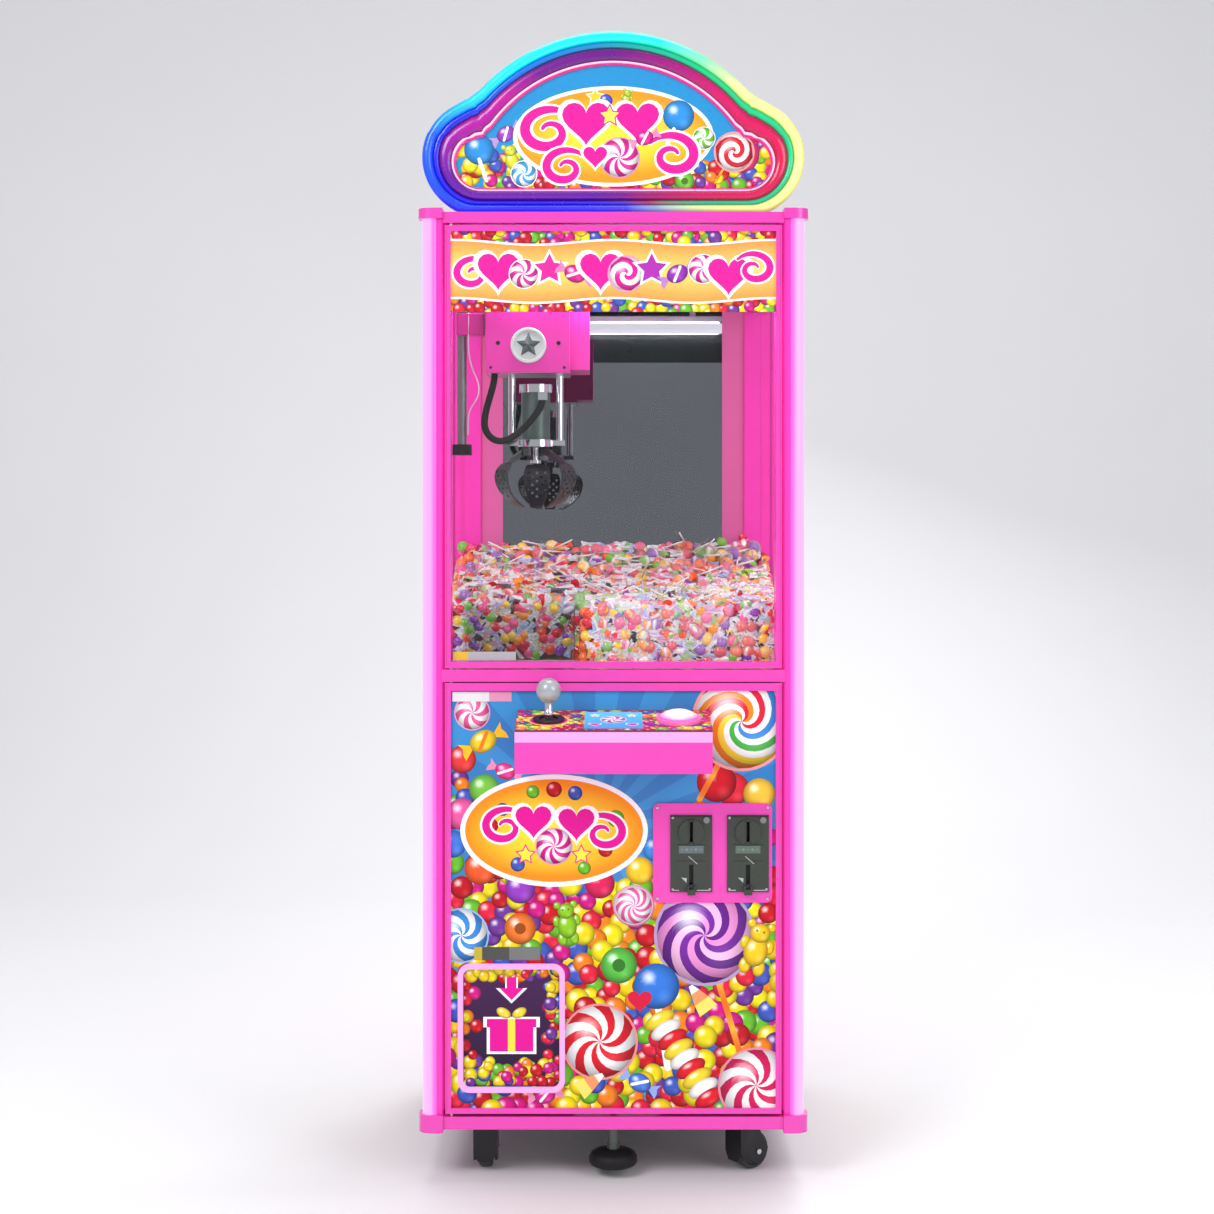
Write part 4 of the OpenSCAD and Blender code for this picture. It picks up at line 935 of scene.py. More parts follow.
def rnd_rot(r):
    q = Vector((r.gauss(0, 1), r.gauss(0, 1), r.gauss(0, 1))).normalized()
    return Matrix.Rotation(r.uniform(0, 2 * math.pi), 3, q)


def in_case(q):
    return abs(q[0]) < 0.2890 and -0.2190 < q[1] < 0.332 and q[2] > 0.8505 and not (q[0] < -0.0465 and q[1] < -0.0465)


def put_sweet(p, kind=None, rot=None):
    r = hr
    if rot is not None and kind != "ball":
        ends = [Vector((0, 0, -0.078)), Vector((0, 0, 0.02)), Vector((0, 0, -0.04))]
        for k in range(14):
            if all(in_case(Vector(p) + rot @ e) for e in ends):
                break
            rot = Matrix.Rotation(r.uniform(0, 2 * math.pi), 3, "Z") @ Matrix.Rotation(r.uniform(1.1, 2.0), 3, "X") @ Matrix.Rotation(r.uniform(0, 6), 3, "Z")
        else:
            kind = "ball"
    kind = kind or r.choices(["lolly", "ball", "twist"], [0.62, 0.16, 0.22])[0]
    R = rot or rnd_rot(r)
    c = r.choice(COLS)
    p = Vector(p)

    def tr(vs):
        return [tuple(R @ Vector(v) + p) for v in vs]
    if kind == "lolly":
        rad = r.uniform(0.0115, 0.0140)
        vs, fs = sph(rad, 12, 8, 0.92)
        band_c = r.choice([(0.92, 0.9, 0.88), r.choice(COLS), c])
        SW.add(tr(vs), fs, [band_c if abs(v[2]) < rad * 0.24 and r.random() < 2 else c for v in vs])
        # wrapper: a loose skin gathered on the stick, with a flared skirt
        prof = [(0.0, rad * 1.06), (rad * 0.75, rad * 0.85), (rad * 1.12, 0.1 * rad), (rad * 0.9, -rad * 0.72), (0.0028, -rad * 1.35), (0.0075, -rad * 1.95)]
        wv, wf = lathe(prof, 12)
        m = len(prof)
        wv = [(x * (1 + 0.10 * math.sin(i * 5.1) + (0.30 * math.sin(i // m * 3.9) if i % m == m - 1 else 0)), y * (1 + 0.10 * math.sin(i * 5.1)), z + (0.0012 * math.sin(i * 2.3))) for i, (x, y, z) in enumerate(wv)]
        if p.x > -0.045 or p.z > heap_z(p.x, p.y) - 0.022:
            WR.add(tr(wv), wf, (1, 1, 1))
        L = r.uniform(0.052, 0.066)
        sv, sf = lathe([(0, -rad * 0.8), (0.00145, -rad * 0.8), (0.00145, -rad - L), (0, -rad - L)], 7)
        ST.add(tr(sv), sf, (0.9, 0.9, 0.88))
    elif kind == "ball":
        rad = r.uniform(0.009, 0.0115)
        vs, fs = sph(rad, 12, 8)
        SW.add(tr(vs), fs, c)
    else:
        a = r.uniform(0.009, 0.011)
        prof = [(0.0085, -2.35 * a), (0.006, -1.9 * a), (0.0018, -1.35 * a), (a * 0.75, -0.9 * a), (a, -0.3 * a), (a, 0.3 * a), (a * 0.75, 0.9 * a), (0.0018, 1.35 * a), (0.006, 1.9 * a), (0.0085, 2.35 * a)]
        vs, fs = lathe(prof, 12)
        m = len(prof)
        c2 = r.choice([(0.92, 0.9, 0.9), c, S(250, 220, 60)])
        vs = [(x * (1 + 0.12 * math.sin(i * 3.7)), y * (1 + 0.12 * math.cos(i * 2.9)), z) for i, (x, y, z) in enumerate(vs)]
        SW.add(tr(vs), fs, [c2 if (i // m) % 4 < 2 and 2 < i % m < 7 else c for i in range(len(vs))])


def clear_of(x, y):
    return abs(x) < 0.287 and y < 0.322 and not (x < -0.047 and y < -0.046) and y > -0.207


step = 0.0215
spots = []
y = -0.206
while y < 0.322:
    x = -0.288
    while x < 0.288:
        xx, yy = x + hr.uniform(-.4, .4) * step, y + hr.uniform(-.4, .4) * step
        if clear_of(xx, yy):
            spots.append((xx, yy, heap_z(xx, yy) - 0.006 + hr.uniform(-0.007, 0.007) + (0.010 + 0.008 * (xx > 0.12)) * max(0.0, min(1.0, (yy - 0.10) / 0.2))))
        x += step
    y += step
for s in spots:
    tilt = Matrix.Rotation(hr.uniform(0, 2 * math.pi), 3, "Z") @ Matrix.Rotation(hr.uniform(-0.5, 0.5) + math.pi / 2 * hr.choice([1, 1, 1, 0.75]), 3, "X") @ Matrix.Rotation(hr.uniform(0, 6), 3, "Z")
    put_sweet(s, rot=tilt)
# the faces against the door glass, beside the chute and behind it, and against the side windows
faces = []
for i in range(17):
    for j in range(5):
        faces.append((-0.046 + 0.333 * (i + 0.5) / 17, -0.2075, 0.859 + 0.019 * j, 0))
for i in range(7):
    for j in range(5):
        faces.append((-0.0480, -0.195 + 0.150 * (i + 0.5) / 7, 0.859 + 0.019 * j, 1))
for i in range(11):
    for j in range(5):
        faces.append((-0.286 + 0.234 * (i + 0.5) / 11, -0.0485, 0.859 + 0.0195 * j, 0))
for s in (-1, 1):
    for i in range(26):
        for j in range(10):
            yy = -0.20 + 0.52 * (i + 0.5) / 26
            if (s == 1 or yy > -0.045) and 0.859 + 0.0195 * j < heap_z(0, yy) - 0.004:
                faces.append((s * 0.2868, yy, 0.859 + 0.0195 * j, 1))
for x, y, z, ax in faces:
    t = hr.uniform(-1.2, 1.2)
    rot = (Matrix.Rotation(t, 3, "Y") @ Matrix.Rotation(hr.uniform(-0.25, 0.25), 3, "X")) if ax == 0 else (Matrix.Rotation(t, 3, "X") @ Matrix.Rotation(hr.uniform(-0.25, 0.25), 3, "Y"))
    dx, dz = hr.uniform(-.010, .010), hr.uniform(-.008, .010)
    put_sweet((x + (dx if ax == 0 else 0), y + (dx if ax else 0), z + dz), rot=rot, kind=hr.choice(["lolly", "lolly", "lolly", "twist", "ball"]))
# loose wrapper film, crumpled, over the top and against the front glass
FILM = Mesh()
FCOL = [(0.86, 0.87, 0.90)] * 7 + [(0.88, 0.42, 0.62), (0.93, 0.50, 0.14), (0.50, 0.74, 0.28), (0.48, 0.62, 0.92), (0.66, 0.48, 0.80), (0.86, 0.16, 0.28), (0.02, 0.02, 0.025)]
for k in range(1500):
    if k < 340:
        x, y, z, lo, hi = hr.uniform(-0.040, 0.278), -0.2150, hr.uniform(0.858, 0.950), -0.2190, -0.2085
    elif k < 500:
        x, y, z, lo, hi = hr.uniform(-0.278, -0.060), -0.0545, hr.uniform(0.858, 0.955), -0.0590, -0.0480
    else:
        x, y = hr.uniform(-0.278, 0.278), hr.uniform(-0.200, 0.315)
        if not clear_of(x, y) or not clear_of(x - 0.014, y - 0.014):
            continue
        z = heap_z(x, y) + hr.uniform(0.0, 0.011) + 0.006 * max(0.0, min(1.0, (y - 0.10) / 0.2))
    if k < 500:
        R = Matrix.Rotation(hr.uniform(0, 6), 3, "Y") @ Matrix.Rotation(math.pi / 2 + hr.uniform(-.15, .15), 3, "X")
    else:
        R = Matrix.Rotation(hr.gauss(0, 0.55), 3, "Z") @ Matrix.Rotation(hr.uniform(0.1, 1.5), 3, "X") @ Matrix.Rotation(hr.gauss(0, 0.35), 3, "Y")
    a, b = hr.uniform(0.008, 0.0165), hr.uniform(0.003, 0.0075)
    w = hr.uniform(0.4, 1.0)
    vs = [tuple(R @ Vector(((i / 4 - 0.5) * 2 * a, (j / 4 - 0.5) * 2 * b * (w + (1 - w) * abs(i / 2 - 1)) + hr.uniform(-1, 1) * 0.0009, hr.uniform(-1, 1) * 0.0018)) + Vector((x, y, z))) for j in range(5) for i in range(5)]
    if k < 500:
        vs = [(p[0], max(lo, min(hi, p[1])), p[2]) for p in vs]
    vs = [(max(-0.2885, min(0.2885, p[0])), p[1], max(0.8515, p[2])) for p in vs]
    fs = [(j * 5 + i, j * 5 + i + 1, j * 5 + i + 6, j * 5 + i + 5) for j in range(4) for i in range(4)]
    FILM.add(vs, fs, hr.choice(FCOL))
# a dark core that fills what shows between them; its colours are mixed most of the way to near-black as painted shade
# in the gaps
core = Mesh()


def shaded_core_block(x0, x1, y0, y1):
    nx, ny = 26, 30
    vs = [(x0 + (x1 - x0) * i / nx, y0 + (y1 - y0) * j / ny, heap_z(0, y0 + (y1 - y0) * j / ny) - 0.020) for j in range(ny + 1) for i in range(nx + 1)]
    fs = [(j * (nx + 1) + i, j * (nx + 1) + i + 1, (j + 1) * (nx + 1) + i + 1, (j + 1) * (nx + 1) + i) for j in range(ny) for i in range(nx)]
    cr = random.Random(6)
    # colours mixed 82% towards near-black: painted shade deep between the sweets
    core.add(vs, fs, [mixc(cr.choice(COLS), (0.02, 0.01, 0.015), 0.82) for _ in vs])
    for a, b in (((x0, y0), (x1, y0)), ((x1, y0), (x1, y1)), ((x1, y1), (x0, y1)), ((x0, y1), (x0, y0))):
        vs, fs = [], []
        for i in range(25):
            for j in range(5):
                x, y = a[0] + (b[0] - a[0]) * i / 24, a[1] + (b[1] - a[1]) * i / 24
                vs.append((x, y, 0.8505 + (heap_z(0, y) - 0.020 - 0.8505) * j / 4))
        for i in range(24):
            for j in range(4):
                fs.append((i * 5 + j, (i + 1) * 5 + j, (i + 1) * 5 + j + 1, i * 5 + j + 1))
        # the core's walls get the same near-black mix: painted shade
        core.add(vs, fs, [mixc(cr.choice(COLS), (0.02, 0.01, 0.015), 0.82) for _ in vs])


shaded_core_block(-0.045, 0.284, -0.202, 0.322)
shaded_core_block(-0.284, -0.0455, -0.043, 0.322)
o = SW.build("sweets_heads", CANDY, "cabinet", smooth=True, replaces="candy_fill", slot="sweets")
WR.build("sweets_wrappers", WRAP, "cabinet", smooth=True, slot="clear_glass")
FILM.build("sweets_film", FILMM, "cabinet", slot="clear_glass")
ST.build("sweets_sticks", PLAINCOL, "cabinet", smooth=True, slot="white_panel")
core.build("sweets_core_painted_shade", CANDY, "cabinet", slot="sweets")


# ---------------------------------------------------------------- finishes on the CAD nodes
def soften(o, width):
    me = o.data
    a = me.attributes.get("custom_normal")
    if a:
        me.attributes.remove(a)
    me.polygons.foreach_set("use_smooth", [True] * len(me.polygons))
    w = o.modifiers.new("weld", "WELD")
    w.merge_threshold = 2e-6
    b = o.modifiers.new("bevel", "BEVEL")
    b.width = width
    b.segments = 2
    b.limit_method = "ANGLE"
    b.angle_limit = math.radians(38)
    b.harden_normals = True


def paint(names, base, *zones, edge=0.0):
    for n in names.split():
        o = N[n]
        me = o.data
        me.materials.clear()
        me.materials.append(base)
        for _, m in zones:
            me.materials.append(m)
        idx = []
        for p in me.polygons:
            c = p.center
            k = 0
            for j, (test, _) in enumerate(zones):
                if test(c.x, c.y, c.z):
                    k = j + 1
                    break
            idx.append(k)
        me.polygons.foreach_set("material_index", idx)
        if edge:
            soften(o, edge)


# the blue sign case is given a glow (emit 0.25): painted light on a case that is no lamp
BLUEBOX = mat("sign_case_painted_glow", S(52, 40, 190), rough=0.3, coat=0.4, scale=20, cvar=0.1, emit=0.25, ecol=S(60, 40, 220))
SKY = mat("panel_blue", S(40, 130, 205), rough=0.3, coat=0.2, scale=25, cvar=0.05)
BALLGREY = mat("stick_ball_grey", (0.40, 0.425, 0.45), rough=0.30, metal=0.15, coat=0.5, scale=40, cvar=0.05, rvar=0.04)
# the button's housing ring is given a pink glow (emit 0.18): painted light, only the lens is lit
RING = mat("button_ring_pink_painted_glow", S(250, 120, 190), rough=0.25, coat=0.6, scale=40, emit=0.18, ecol=S(255, 90, 170))
FING = mat("scoop_dark", (0.028, 0.022, 0.030), rough=0.34, metal=0.35, coat=0.15, scale=45, cvar=0.15, rvar=0.08)
COVER = mat("carriage_pink", S(204, 44, 150), rough=0.42, coat=0.2, scale=28, cvar=0.07, bump=0.1, bscale=380)
# the pink posts are given a glow (emit 0.10): painted light from the corner tubes beside them
POST = mat("post_pink_painted_glow", S(240, 48, 178), rough=0.36, coat=0.3, scale=30, cvar=0.05, emit=0.10, ecol=S(250, 30, 170))
SHELFTOP = mat("shelf_plate", S(120, 40, 90), rough=0.25, coat=0.4, scale=30)
GREYG = mat("stem_grey_green", S(96, 106, 100), rough=0.4, metal=0.5, scale=60, cvar=0.1)
MECH = mat("validator_grey", S(62, 67, 60), rough=0.46, metal=0.25, scale=140, cvar=0.16, rvar=0.1, bump=0.25, bscale=800)
BADGE = attr_mat("badge_satin", rough=0.34, coat=0.25, cvar=0.04)
WIRE = mat("white_wire", (0.72, 0.72, 0.70), rough=0.45, scale=90, cvar=0.06)

# the narrow gap on the posts' front is given a stronger pink glow (emit 0.42): painted light from the corner tubes
GAP = mat("gap_pink_painted_glow", S(240, 60, 180), rough=0.4, scale=30, cvar=0.05, emit=0.42, ecol=S(242, 70, 200))
# rose strips: their own rose colour plus a glow (emit 0.18) that is painted light
ROSE = mat("rose_edge_painted_glow", S(206, 88, 152), rough=0.35, scale=40, cvar=0.05, emit=0.18, ecol=S(210, 90, 155))
paint("corner_posts", POST, (lambda x, y, z: abs(abs(x) - 0.2829) < 0.0012 and y < F + 0.046, GAP), edge=0.0007)
paint("cross_rails roof_panel side_panels rear_panel", PINK, edge=0.0008)
paint("corner_caps", PINK, edge=0.002)
paint("corner_light_tubes", TUBE)
paint("base_plate", BLACK_S, edge=0.0006)
paint("side_windows upper_door_glass", GLASS)
paint("chute_walls", ACRYL)
paint("back_mirror", MIRROR)
paint("prize_deck", WHITE)
paint("prize_duct", DUCT)
paint("candy_fill", WHITE)
paint("led_light_bar", WHITE, (lambda x, y, z: z < 1.5235 and abs(x) < 0.2335, LED))
paint("gantry_side_rails", STEEL, edge=0.0004)
paint("topper_box", BLUEBOX, edge=0.0012)
paint("topper_neon_ring topper_face", BLUEBOX)
paint("coin_box", GREY, edge=0.0006)
paint("power_inlet", BLACK, (lambda x, y, z: B - 0.0165 < y < B - 0.0065 and 0.1515 < z < 0.1575 and abs(x + 0.210) < 0.0095, CHROME))
paint("power_rocker", REDP)
paint("upper_door_frame lower_door_frame", PINK, (lambda x, y, z: math.hypot(x + 0.268, y - F - 0.008) < 0.0032, STEEL), edge=0.0010)
paint("header_sign", PRINT_LIT)
paint("lower_door_panel", SKY)
paint("control_shelf", PINK, edge=0.0012)
paint("shelf_top_plate", SHELFTOP)
paint("shelf_light_strip", TRIM_LIT, edge=0.0006)
paint("coin_plate", PINK, edge=0.0010)
paint("coin_mechs", MECH, edge=0.0007)
paint("coin_reject_left coin_reject_right", GREY, edge=0.0005)
paint("joystick_base", BLACK, edge=0.0006)
paint("joystick_gimbal", STEEL)
paint("joystick_stick", BALLGREY)
paint("button_housing", RING, edge=0.0010)
paint("push_button", RING)
paint("prize_door_trim", TRIM_LIT, edge=0.0025)
paint("prize_flap", BLACK, edge=0.0008)
# the bridge beam's upper part is white paint with a strong glow (emit 2.4) that is painted light, standing in for the
# LED bar's light on it
BEAM_PAINTED_GLOW = mat("beam_white_painted_glow", (0.80, 0.80, 0.82), rough=0.4, scale=40, cvar=0.04, emit=2.4, ecol=(0.95, 0.98, 1.0))
paint("bridge_beam", STEEL, (lambda x, y, z: z > 1.4785 and abs(x) < 0.25, BEAM_PAINTED_GLOW), (lambda x, y, z: z < 1.2223 and x < -0.235, BLACK), (lambda x, y, z: z < 1.4779 and abs(x + 0.256) < 0.0085, GREY), edge=0.0006)
paint("carriage_chassis", STEEL, edge=0.0006)
paint("carriage_cover", COVER, edge=0.0022)
paint("control_hose", RUBBER)
paint("claw_coil", CHROME, (lambda x, y, z: z < 1.2195, BLACK_S), (lambda x, y, z: 1.2312 < z < 1.3108 and math.hypot(x + 0.132, y + 0.136) < 0.0252, COIL), edge=0.0006)
paint("claw_plunger", CHROME, edge=0.0004)
paint("claw_finger_a claw_finger_b claw_finger_c", FING, edge=0.0003)
paint("caster_fork_fl caster_fork_fr caster_fork_rl caster_fork_rr", BLACK_S, edge=0.0008)
paint("caster_wheel_fl caster_wheel_fr caster_wheel_rl caster_wheel_rr", TREAD, (lambda x, y, z: False, GREY), edge=0.0008)
paint("leveller_front leveller_rear", RUBBER, (lambda x, y, z: z > 0.0432, GREYG), edge=0.0008)


# ---------------------------------------------------------------- joystick, button
def turned(name, profile, x0, material, body, n=40, cols=None, **k):
    """A turned shape standing on the sloping shelf at x0. profile: (radius, height over the surface)."""
    vs, fs = lathe(profile, n)
    m = len(profile)
    pts = [slope_pt(x0 + x, y, z) for x, y, z in vs]
    o = obj(name, pts, fs, material, body, cols=None if cols is None else [cols[i % m] for i in range(len(pts))], smooth=True, **k)
    fix_normals(o)
    return o


def arc(cz, r, a0, a1, n=14):
    return [(max(0.0, r * math.sin(math.radians(a0 + (a1 - a0) * i / n))), cz + r * math.cos(math.radians(a0 + (a1 - a0) * i / n))) for i in range(n + 1)]


turned("stick_ball", arc(0.050, 0.0203, 0, 160) + [(0.0066, 0.0300), (0.0, 0.0300)], -0.105, BALLGREY, "joystick_stick", replaces="joystick_stick", slot="chrome")
turned("stick_shaft", [(0, 0.033), (0.0055, 0.033), (0.0062, 0.031), (0.0062, 0.017), (0.0075, 0.016), (0.0075, 0.0045), (0.0050, 0.0040), (0.0050, -0.036), (0, -0.036)], -0.105, CHROME, "joystick_stick", slot="chrome")
turned("stick_dust_dome", [(0.0050, 0.0052)] + arc(-0.020, 0.025, 15, 53, 8) + arc(-0.020, 0.0228, 53, 15, 8) + [(0.0050, 0.0040), (0.0050, 0.0052)], -0.105, BLACK, "joystick_stick", slot="black_plastic")

dome = [(0.0264, -0.018), (0.0264, 0.0052), (0.0306, 0.0053), (0.0310, 0.0060), (0.0310, 0.0080)] + arc(0.0182 - 0.053, 0.053, 35.6, 0, 16)
dc = []
for r, h in dome:
    t = r / 0.031
    dc.append(mixc(S(255, 252, 226), S(255, 214, 190), min(1, t * 1.3)) if t < 0.7 else mixc(S(255, 214, 190), S(252, 96, 176), min(1, (t - 0.7) / 0.3)))
BUTTON = attr_mat("button_lens", rough=0.18, coat=0.7, emit=0.75, cvar=0.02)
turned("button_dome", [(0, -0.018)] + dome, 0.106, BUTTON, "push_button", n=48, cols=[dc[0]] + dc, replaces="push_button", slot="button_lens")


# ---------------------------------------------------------------- small fittings
def screw(M, at, r, axis="y", sgn=-1, col=(0.7, 0.7, 0.72), h=0.0012):
    """A low pan-head screw with a cross recess, on a face whose outward direction is sgn along axis."""
    prof = [(0, h * 0.45), (r * 0.30, h * 0.45), (r * 0.36, h), (r * 0.72, h * 0.82), (r, h * 0.25), (r, -0.0002)]
    vs, fs = lathe(prof, 16)
    out = []
    for x, y, z in vs:
        if axis == "y":
            out.append((at[0] + x, at[1] + sgn * z, at[2] + y))
        elif axis == "x":
            out.append((at[0] + sgn * z, at[1] + x, at[2] + y))
        else:
            out.append((at[0] + x, at[1] + y, at[2] + sgn * z))
    if (axis == "y" and sgn > 0) or (axis == "x" and sgn < 0) or (axis == "z" and sgn < 0):
        fs = [f[::-1] for f in fs]
    M.add(out, fs, col)


def rbox(M, a, b, col, c=0.0006):
    """A box with chamfered edges."""
    (x0, y0, z0), (x1, y1, z1) = a, b
    vs, fs = [], []
    k = min(c, (x1 - x0) / 3, (y1 - y0) / 3, (z1 - z0) / 3)
    idx = {}
    for ix, x in ((0, x0), (1, x1)):
        for iy, y in ((0, y0), (1, y1)):
            for iz, z in ((0, z0), (1, z1)):
                sx, sy, sz = (k if not ix else -k), (k if not iy else -k), (k if not iz else -k)
                for ax, v in ((0, (x, y + sy, z + sz)), (1, (x + sx, y, z + sz)), (2, (x + sx, y + sy, z))):
                    idx[(ix, iy, iz, ax)] = len(vs)
                    vs.append(v)
    for s in (0, 1):
        fs.append([idx[(s, 0, 0, 0)], idx[(s, 1, 0, 0)], idx[(s, 1, 1, 0)], idx[(s, 0, 1, 0)]])
        fs.append([idx[(0, s, 0, 1)], idx[(1, s, 0, 1)], idx[(1, s, 1, 1)], idx[(0, s, 1, 1)]])
        fs.append([idx[(0, 0, s, 2)], idx[(1, 0, s, 2)], idx[(1, 1, s, 2)], idx[(0, 1, s, 2)]])
    for i in (0, 1):
        for j in (0, 1):
            fs.append([idx[(0, i, j, 1)], idx[(1, i, j, 1)], idx[(1, i, j, 2)], idx[(0, i, j, 2)]])
            fs.append([idx[(i, 0, j, 0)], idx[(i, 1, j, 0)], idx[(i, 1, j, 2)], idx[(i, 0, j, 2)]])
            fs.append([idx[(i, j, 0, 0)], idx[(i, j, 1, 0)], idx[(i, j, 1, 1)], idx[(i, j, 0, 1)]])
            for kx in (0, 1):
                pass
    for ix in (0, 1):
        for iy in (0, 1):
            for iz in (0, 1):
                fs.append([idx[(ix, iy, iz, 0)], idx[(ix, iy, iz, 1)], idx[(ix, iy, iz, 2)]])
    ctr = Vector(((x0 + x1) / 2, (y0 + y1) / 2, (z0 + z1) / 2))
    out = []
    for f in fs:
        p = [Vector(vs[i]) for i in f]
        nrm = (p[1] - p[0]).cross(p[2] - p[0])
        out.append(f if nrm.dot(sum(p, Vector()) / len(p) - ctr) > 0 else f[::-1])
    M.add(vs, out, col)


def plate_fan(M, pts, y, depth, col):
    """A flat shape in the xz plane at y, with an edge that goes back by depth."""
    n = len(pts)
    cx, cz = sum(p[0] for p in pts) / n, sum(p[1] for p in pts) / n
    vs = [(cx, y, cz)] + [(x, y, z) for x, z in pts] + [(x, y + depth, z) for x, z in pts]
    fs = [(0, 1 + i, 1 + (i + 1) % n) for i in range(n)] + [(1 + i, 1 + n + i, 1 + n + (i + 1) % n, 1 + (i + 1) % n) for i in range(n)]
    M.add(vs, fs, col)


SILVER = (0.62, 0.63, 0.66)
# carriage: screws, a plain star badge, its side bracket on the hanging rod
M = Mesh()
for x, z in ((-0.1930, 1.391), (-0.0915, 1.391)):
    screw(M, (x, -0.2061, z), 0.0036, col=SILVER)
for x, z in ((-0.205, 1.350), (-0.082, 1.350), (-0.205, 1.449), (-0.082, 1.449)):
    screw(M, (x, -0.2061, z), 0.0024, col=(0.5, 0.5, 0.52))
M.build("carriage_screws", BLACK_S, "carriage", smooth=False, slot="black_plastic")
M = Mesh()
bx_, bz_ = -0.142, 1.387
prof = [(0.0, 0.0008), (0.0245, 0.0008), (0.0252, 0.0022), (0.0290, 0.0022), (0.0300, 0.0012), (0.0300, 0.0)]
vs, fs = lathe(prof, 48)
M.add([(bx_ + x, -0.2061 - z, bz_ + y) for x, y, z in vs], fs, (0.47, 0.49, 0.49))
star = []
for i in range(10):
    a = math.pi / 2 + i * math.pi / 5
    r = 0.0215 if i % 2 == 0 else 0.0100
    star.append((bx_ + r * math.cos(a), bz_ + r * math.sin(a)))
vs = [(bx_, -0.2061 - 0.0042, bz_)] + [(x, -0.2061 - 0.0014, z) for x, z in star] + [(x, -0.2061 - 0.0004, z) for x, z in star]
fs = [(0, 1 + i, 1 + (i + 1) % 10) for i in range(10)] + [(1 + i, 11 + i, 11 + (i + 1) % 10, 1 + (i + 1) % 10) for i in range(10)]
M.add(vs, fs, (0.045, 0.055, 0.052))
o = M.build("carriage_badge", BADGE, "carriage", slot="grey_steel")
fix_normals(o)
M = Mesh()
rbox(M, (-0.2640, -0.181, 1.4060), (-0.2180, -0.151, 1.4430), (0.5, 0.1, 0.4), 0.0012)
M.build("bridge_side_bracket", COVER, "bridge", slot="pink_cover")

# white wires tied along the hanging rod
wire = [(-0.2440, -0.178, 1.4760), (-0.2436, -0.180, 1.4400), (-0.2440, -0.180, 1.4000), (-0.2430, -0.181, 1.3750), (-0.2375, -0.184, 1.3500), (-0.2300, -0.188, 1.3330),
        (-0.2262, -0.190, 1.3180), (-0.2272, -0.190, 1.3040), (-0.2330, -0.187, 1.2930), (-0.2400, -0.183, 1.2820), (-0.2440, -0.180, 1.2680), (-0.2450, -0.178, 1.2380)]
wp = spline(wire, 0.002)
wv, wf = tube_path(wp, 0.0011, 8)
w = obj("rod_white_wire", wv, wf, WIRE, "bridge", smooth=True, slot="white_panel")
wlen = sum((b - a).length for a, b in zip(wp, wp[1:]))
tuple(wp[0])
[tuple(p) for p in wp]

# coin plates: slot bezels, label plates without lettering, return-pocket wedges, screws
M, L = Mesh(), Mesh()
for x in (0.1285, 0.222):
    y = F - 0.004
    for a, b in (((x - 0.0048, y - 0.0008, 0.5612), (x - 0.0026, y, 0.5995)), ((x + 0.0026, y - 0.0008, 0.5612), (x + 0.0048, y, 0.5995)),
                 ((x - 0.0048, y - 0.0008, 0.5612), (x + 0.0048, y, 0.5636)), ((x - 0.0048, y - 0.0008, 0.5974), (x + 0.0048, y, 0.5998))):
        rbox(L, a, b, (0.035, 0.036, 0.035), 0.0003)
    for dx in (-0.0305, 0.0305):
        for z in (0.4855, 0.6035):
            if not (dx > 0 and z > 0.6):
                screw(M, (x + dx, F - 0.0011, z), 0.0022, col=(0.5, 0.5, 0.52))
    # the wedge beside the return slot; silver strips along the lower edges and two thin lighter diagonal strips, all
    # painted highlights
    plate_fan(M, [(x - 0.0165, 0.5050), (x - 0.0075, 0.5040), (x - 0.0080, 0.4965)], F - 0.0022, 0.0012, SILVER)
    rbox(M, (x - 0.0310, F - 0.0014, 0.4832), (x - 0.0200, F - 0.0009, 0.4846), SILVER, 0.0001)
    rbox(M, (x + 0.0090, F - 0.0014, 0.4832), (x + 0.0305, F - 0.0009, 0.4846), SILVER, 0.0001)
    # two thin lighter diagonal strips: painted highlights
    for (ax, az), (bx2, bz2) in (((x - 0.0045, 0.5400), (x + 0.0100, 0.5275)), ((x + 0.0085, 0.5960), (x + 0.0175, 0.5868))):
        d = Vector((bx2 - ax, bz2 - az)).normalized() * 0.0006
        plate_fan(M, [(ax - d.y, az + d.x), (ax + d.y, az - d.x), (bx2 + d.y, bz2 - d.x), (bx2 - d.y, bz2 + d.x)], F - 0.0018, 0.0008, (0.2, 0.21, 0.21))
    rbox(L, (x - 0.0345, F - 0.0013, 0.6045), (x + 0.0345, F - 0.0009, 0.6080), (0.008, 0.008, 0.009), 0.0001)
    lc = (0.11, 0.145, 0.150) if x < 0.2 else (0.10, 0.150, 0.115)
    rbox(L, (x - 0.0205, F - 0.0016, 0.5449), (x + 0.0205, F - 0.0009, 0.5575), lc, 0.0002)
    for k in range(5):
        cx = x - 0.0150 + k * 0.0075
        vs, fs = lathe([(0, 0.00005), (0.0022, 0.00005), (0.0022, -0.0001)], 14)
        L.add([(cx + a, F - 0.0016 - c, 0.5512 + b) for a, b, c in vs], fs, mixc(lc, (0.4, 0.4, 0.4), 0.35 if k % 2 else 0.12))
for x in (0.0728, 0.2547):
    for z in (0.470, 0.620):
        screw(M, (x, F + 0.0019, z), 0.0027, col=(0.55, 0.55, 0.57))
M.build("coin_door_fittings", STEEL, "lower_door", slot="zinc_steel")
L.build("coin_door_labels", PLAINCOL, "lower_door", slot="grey_steel")

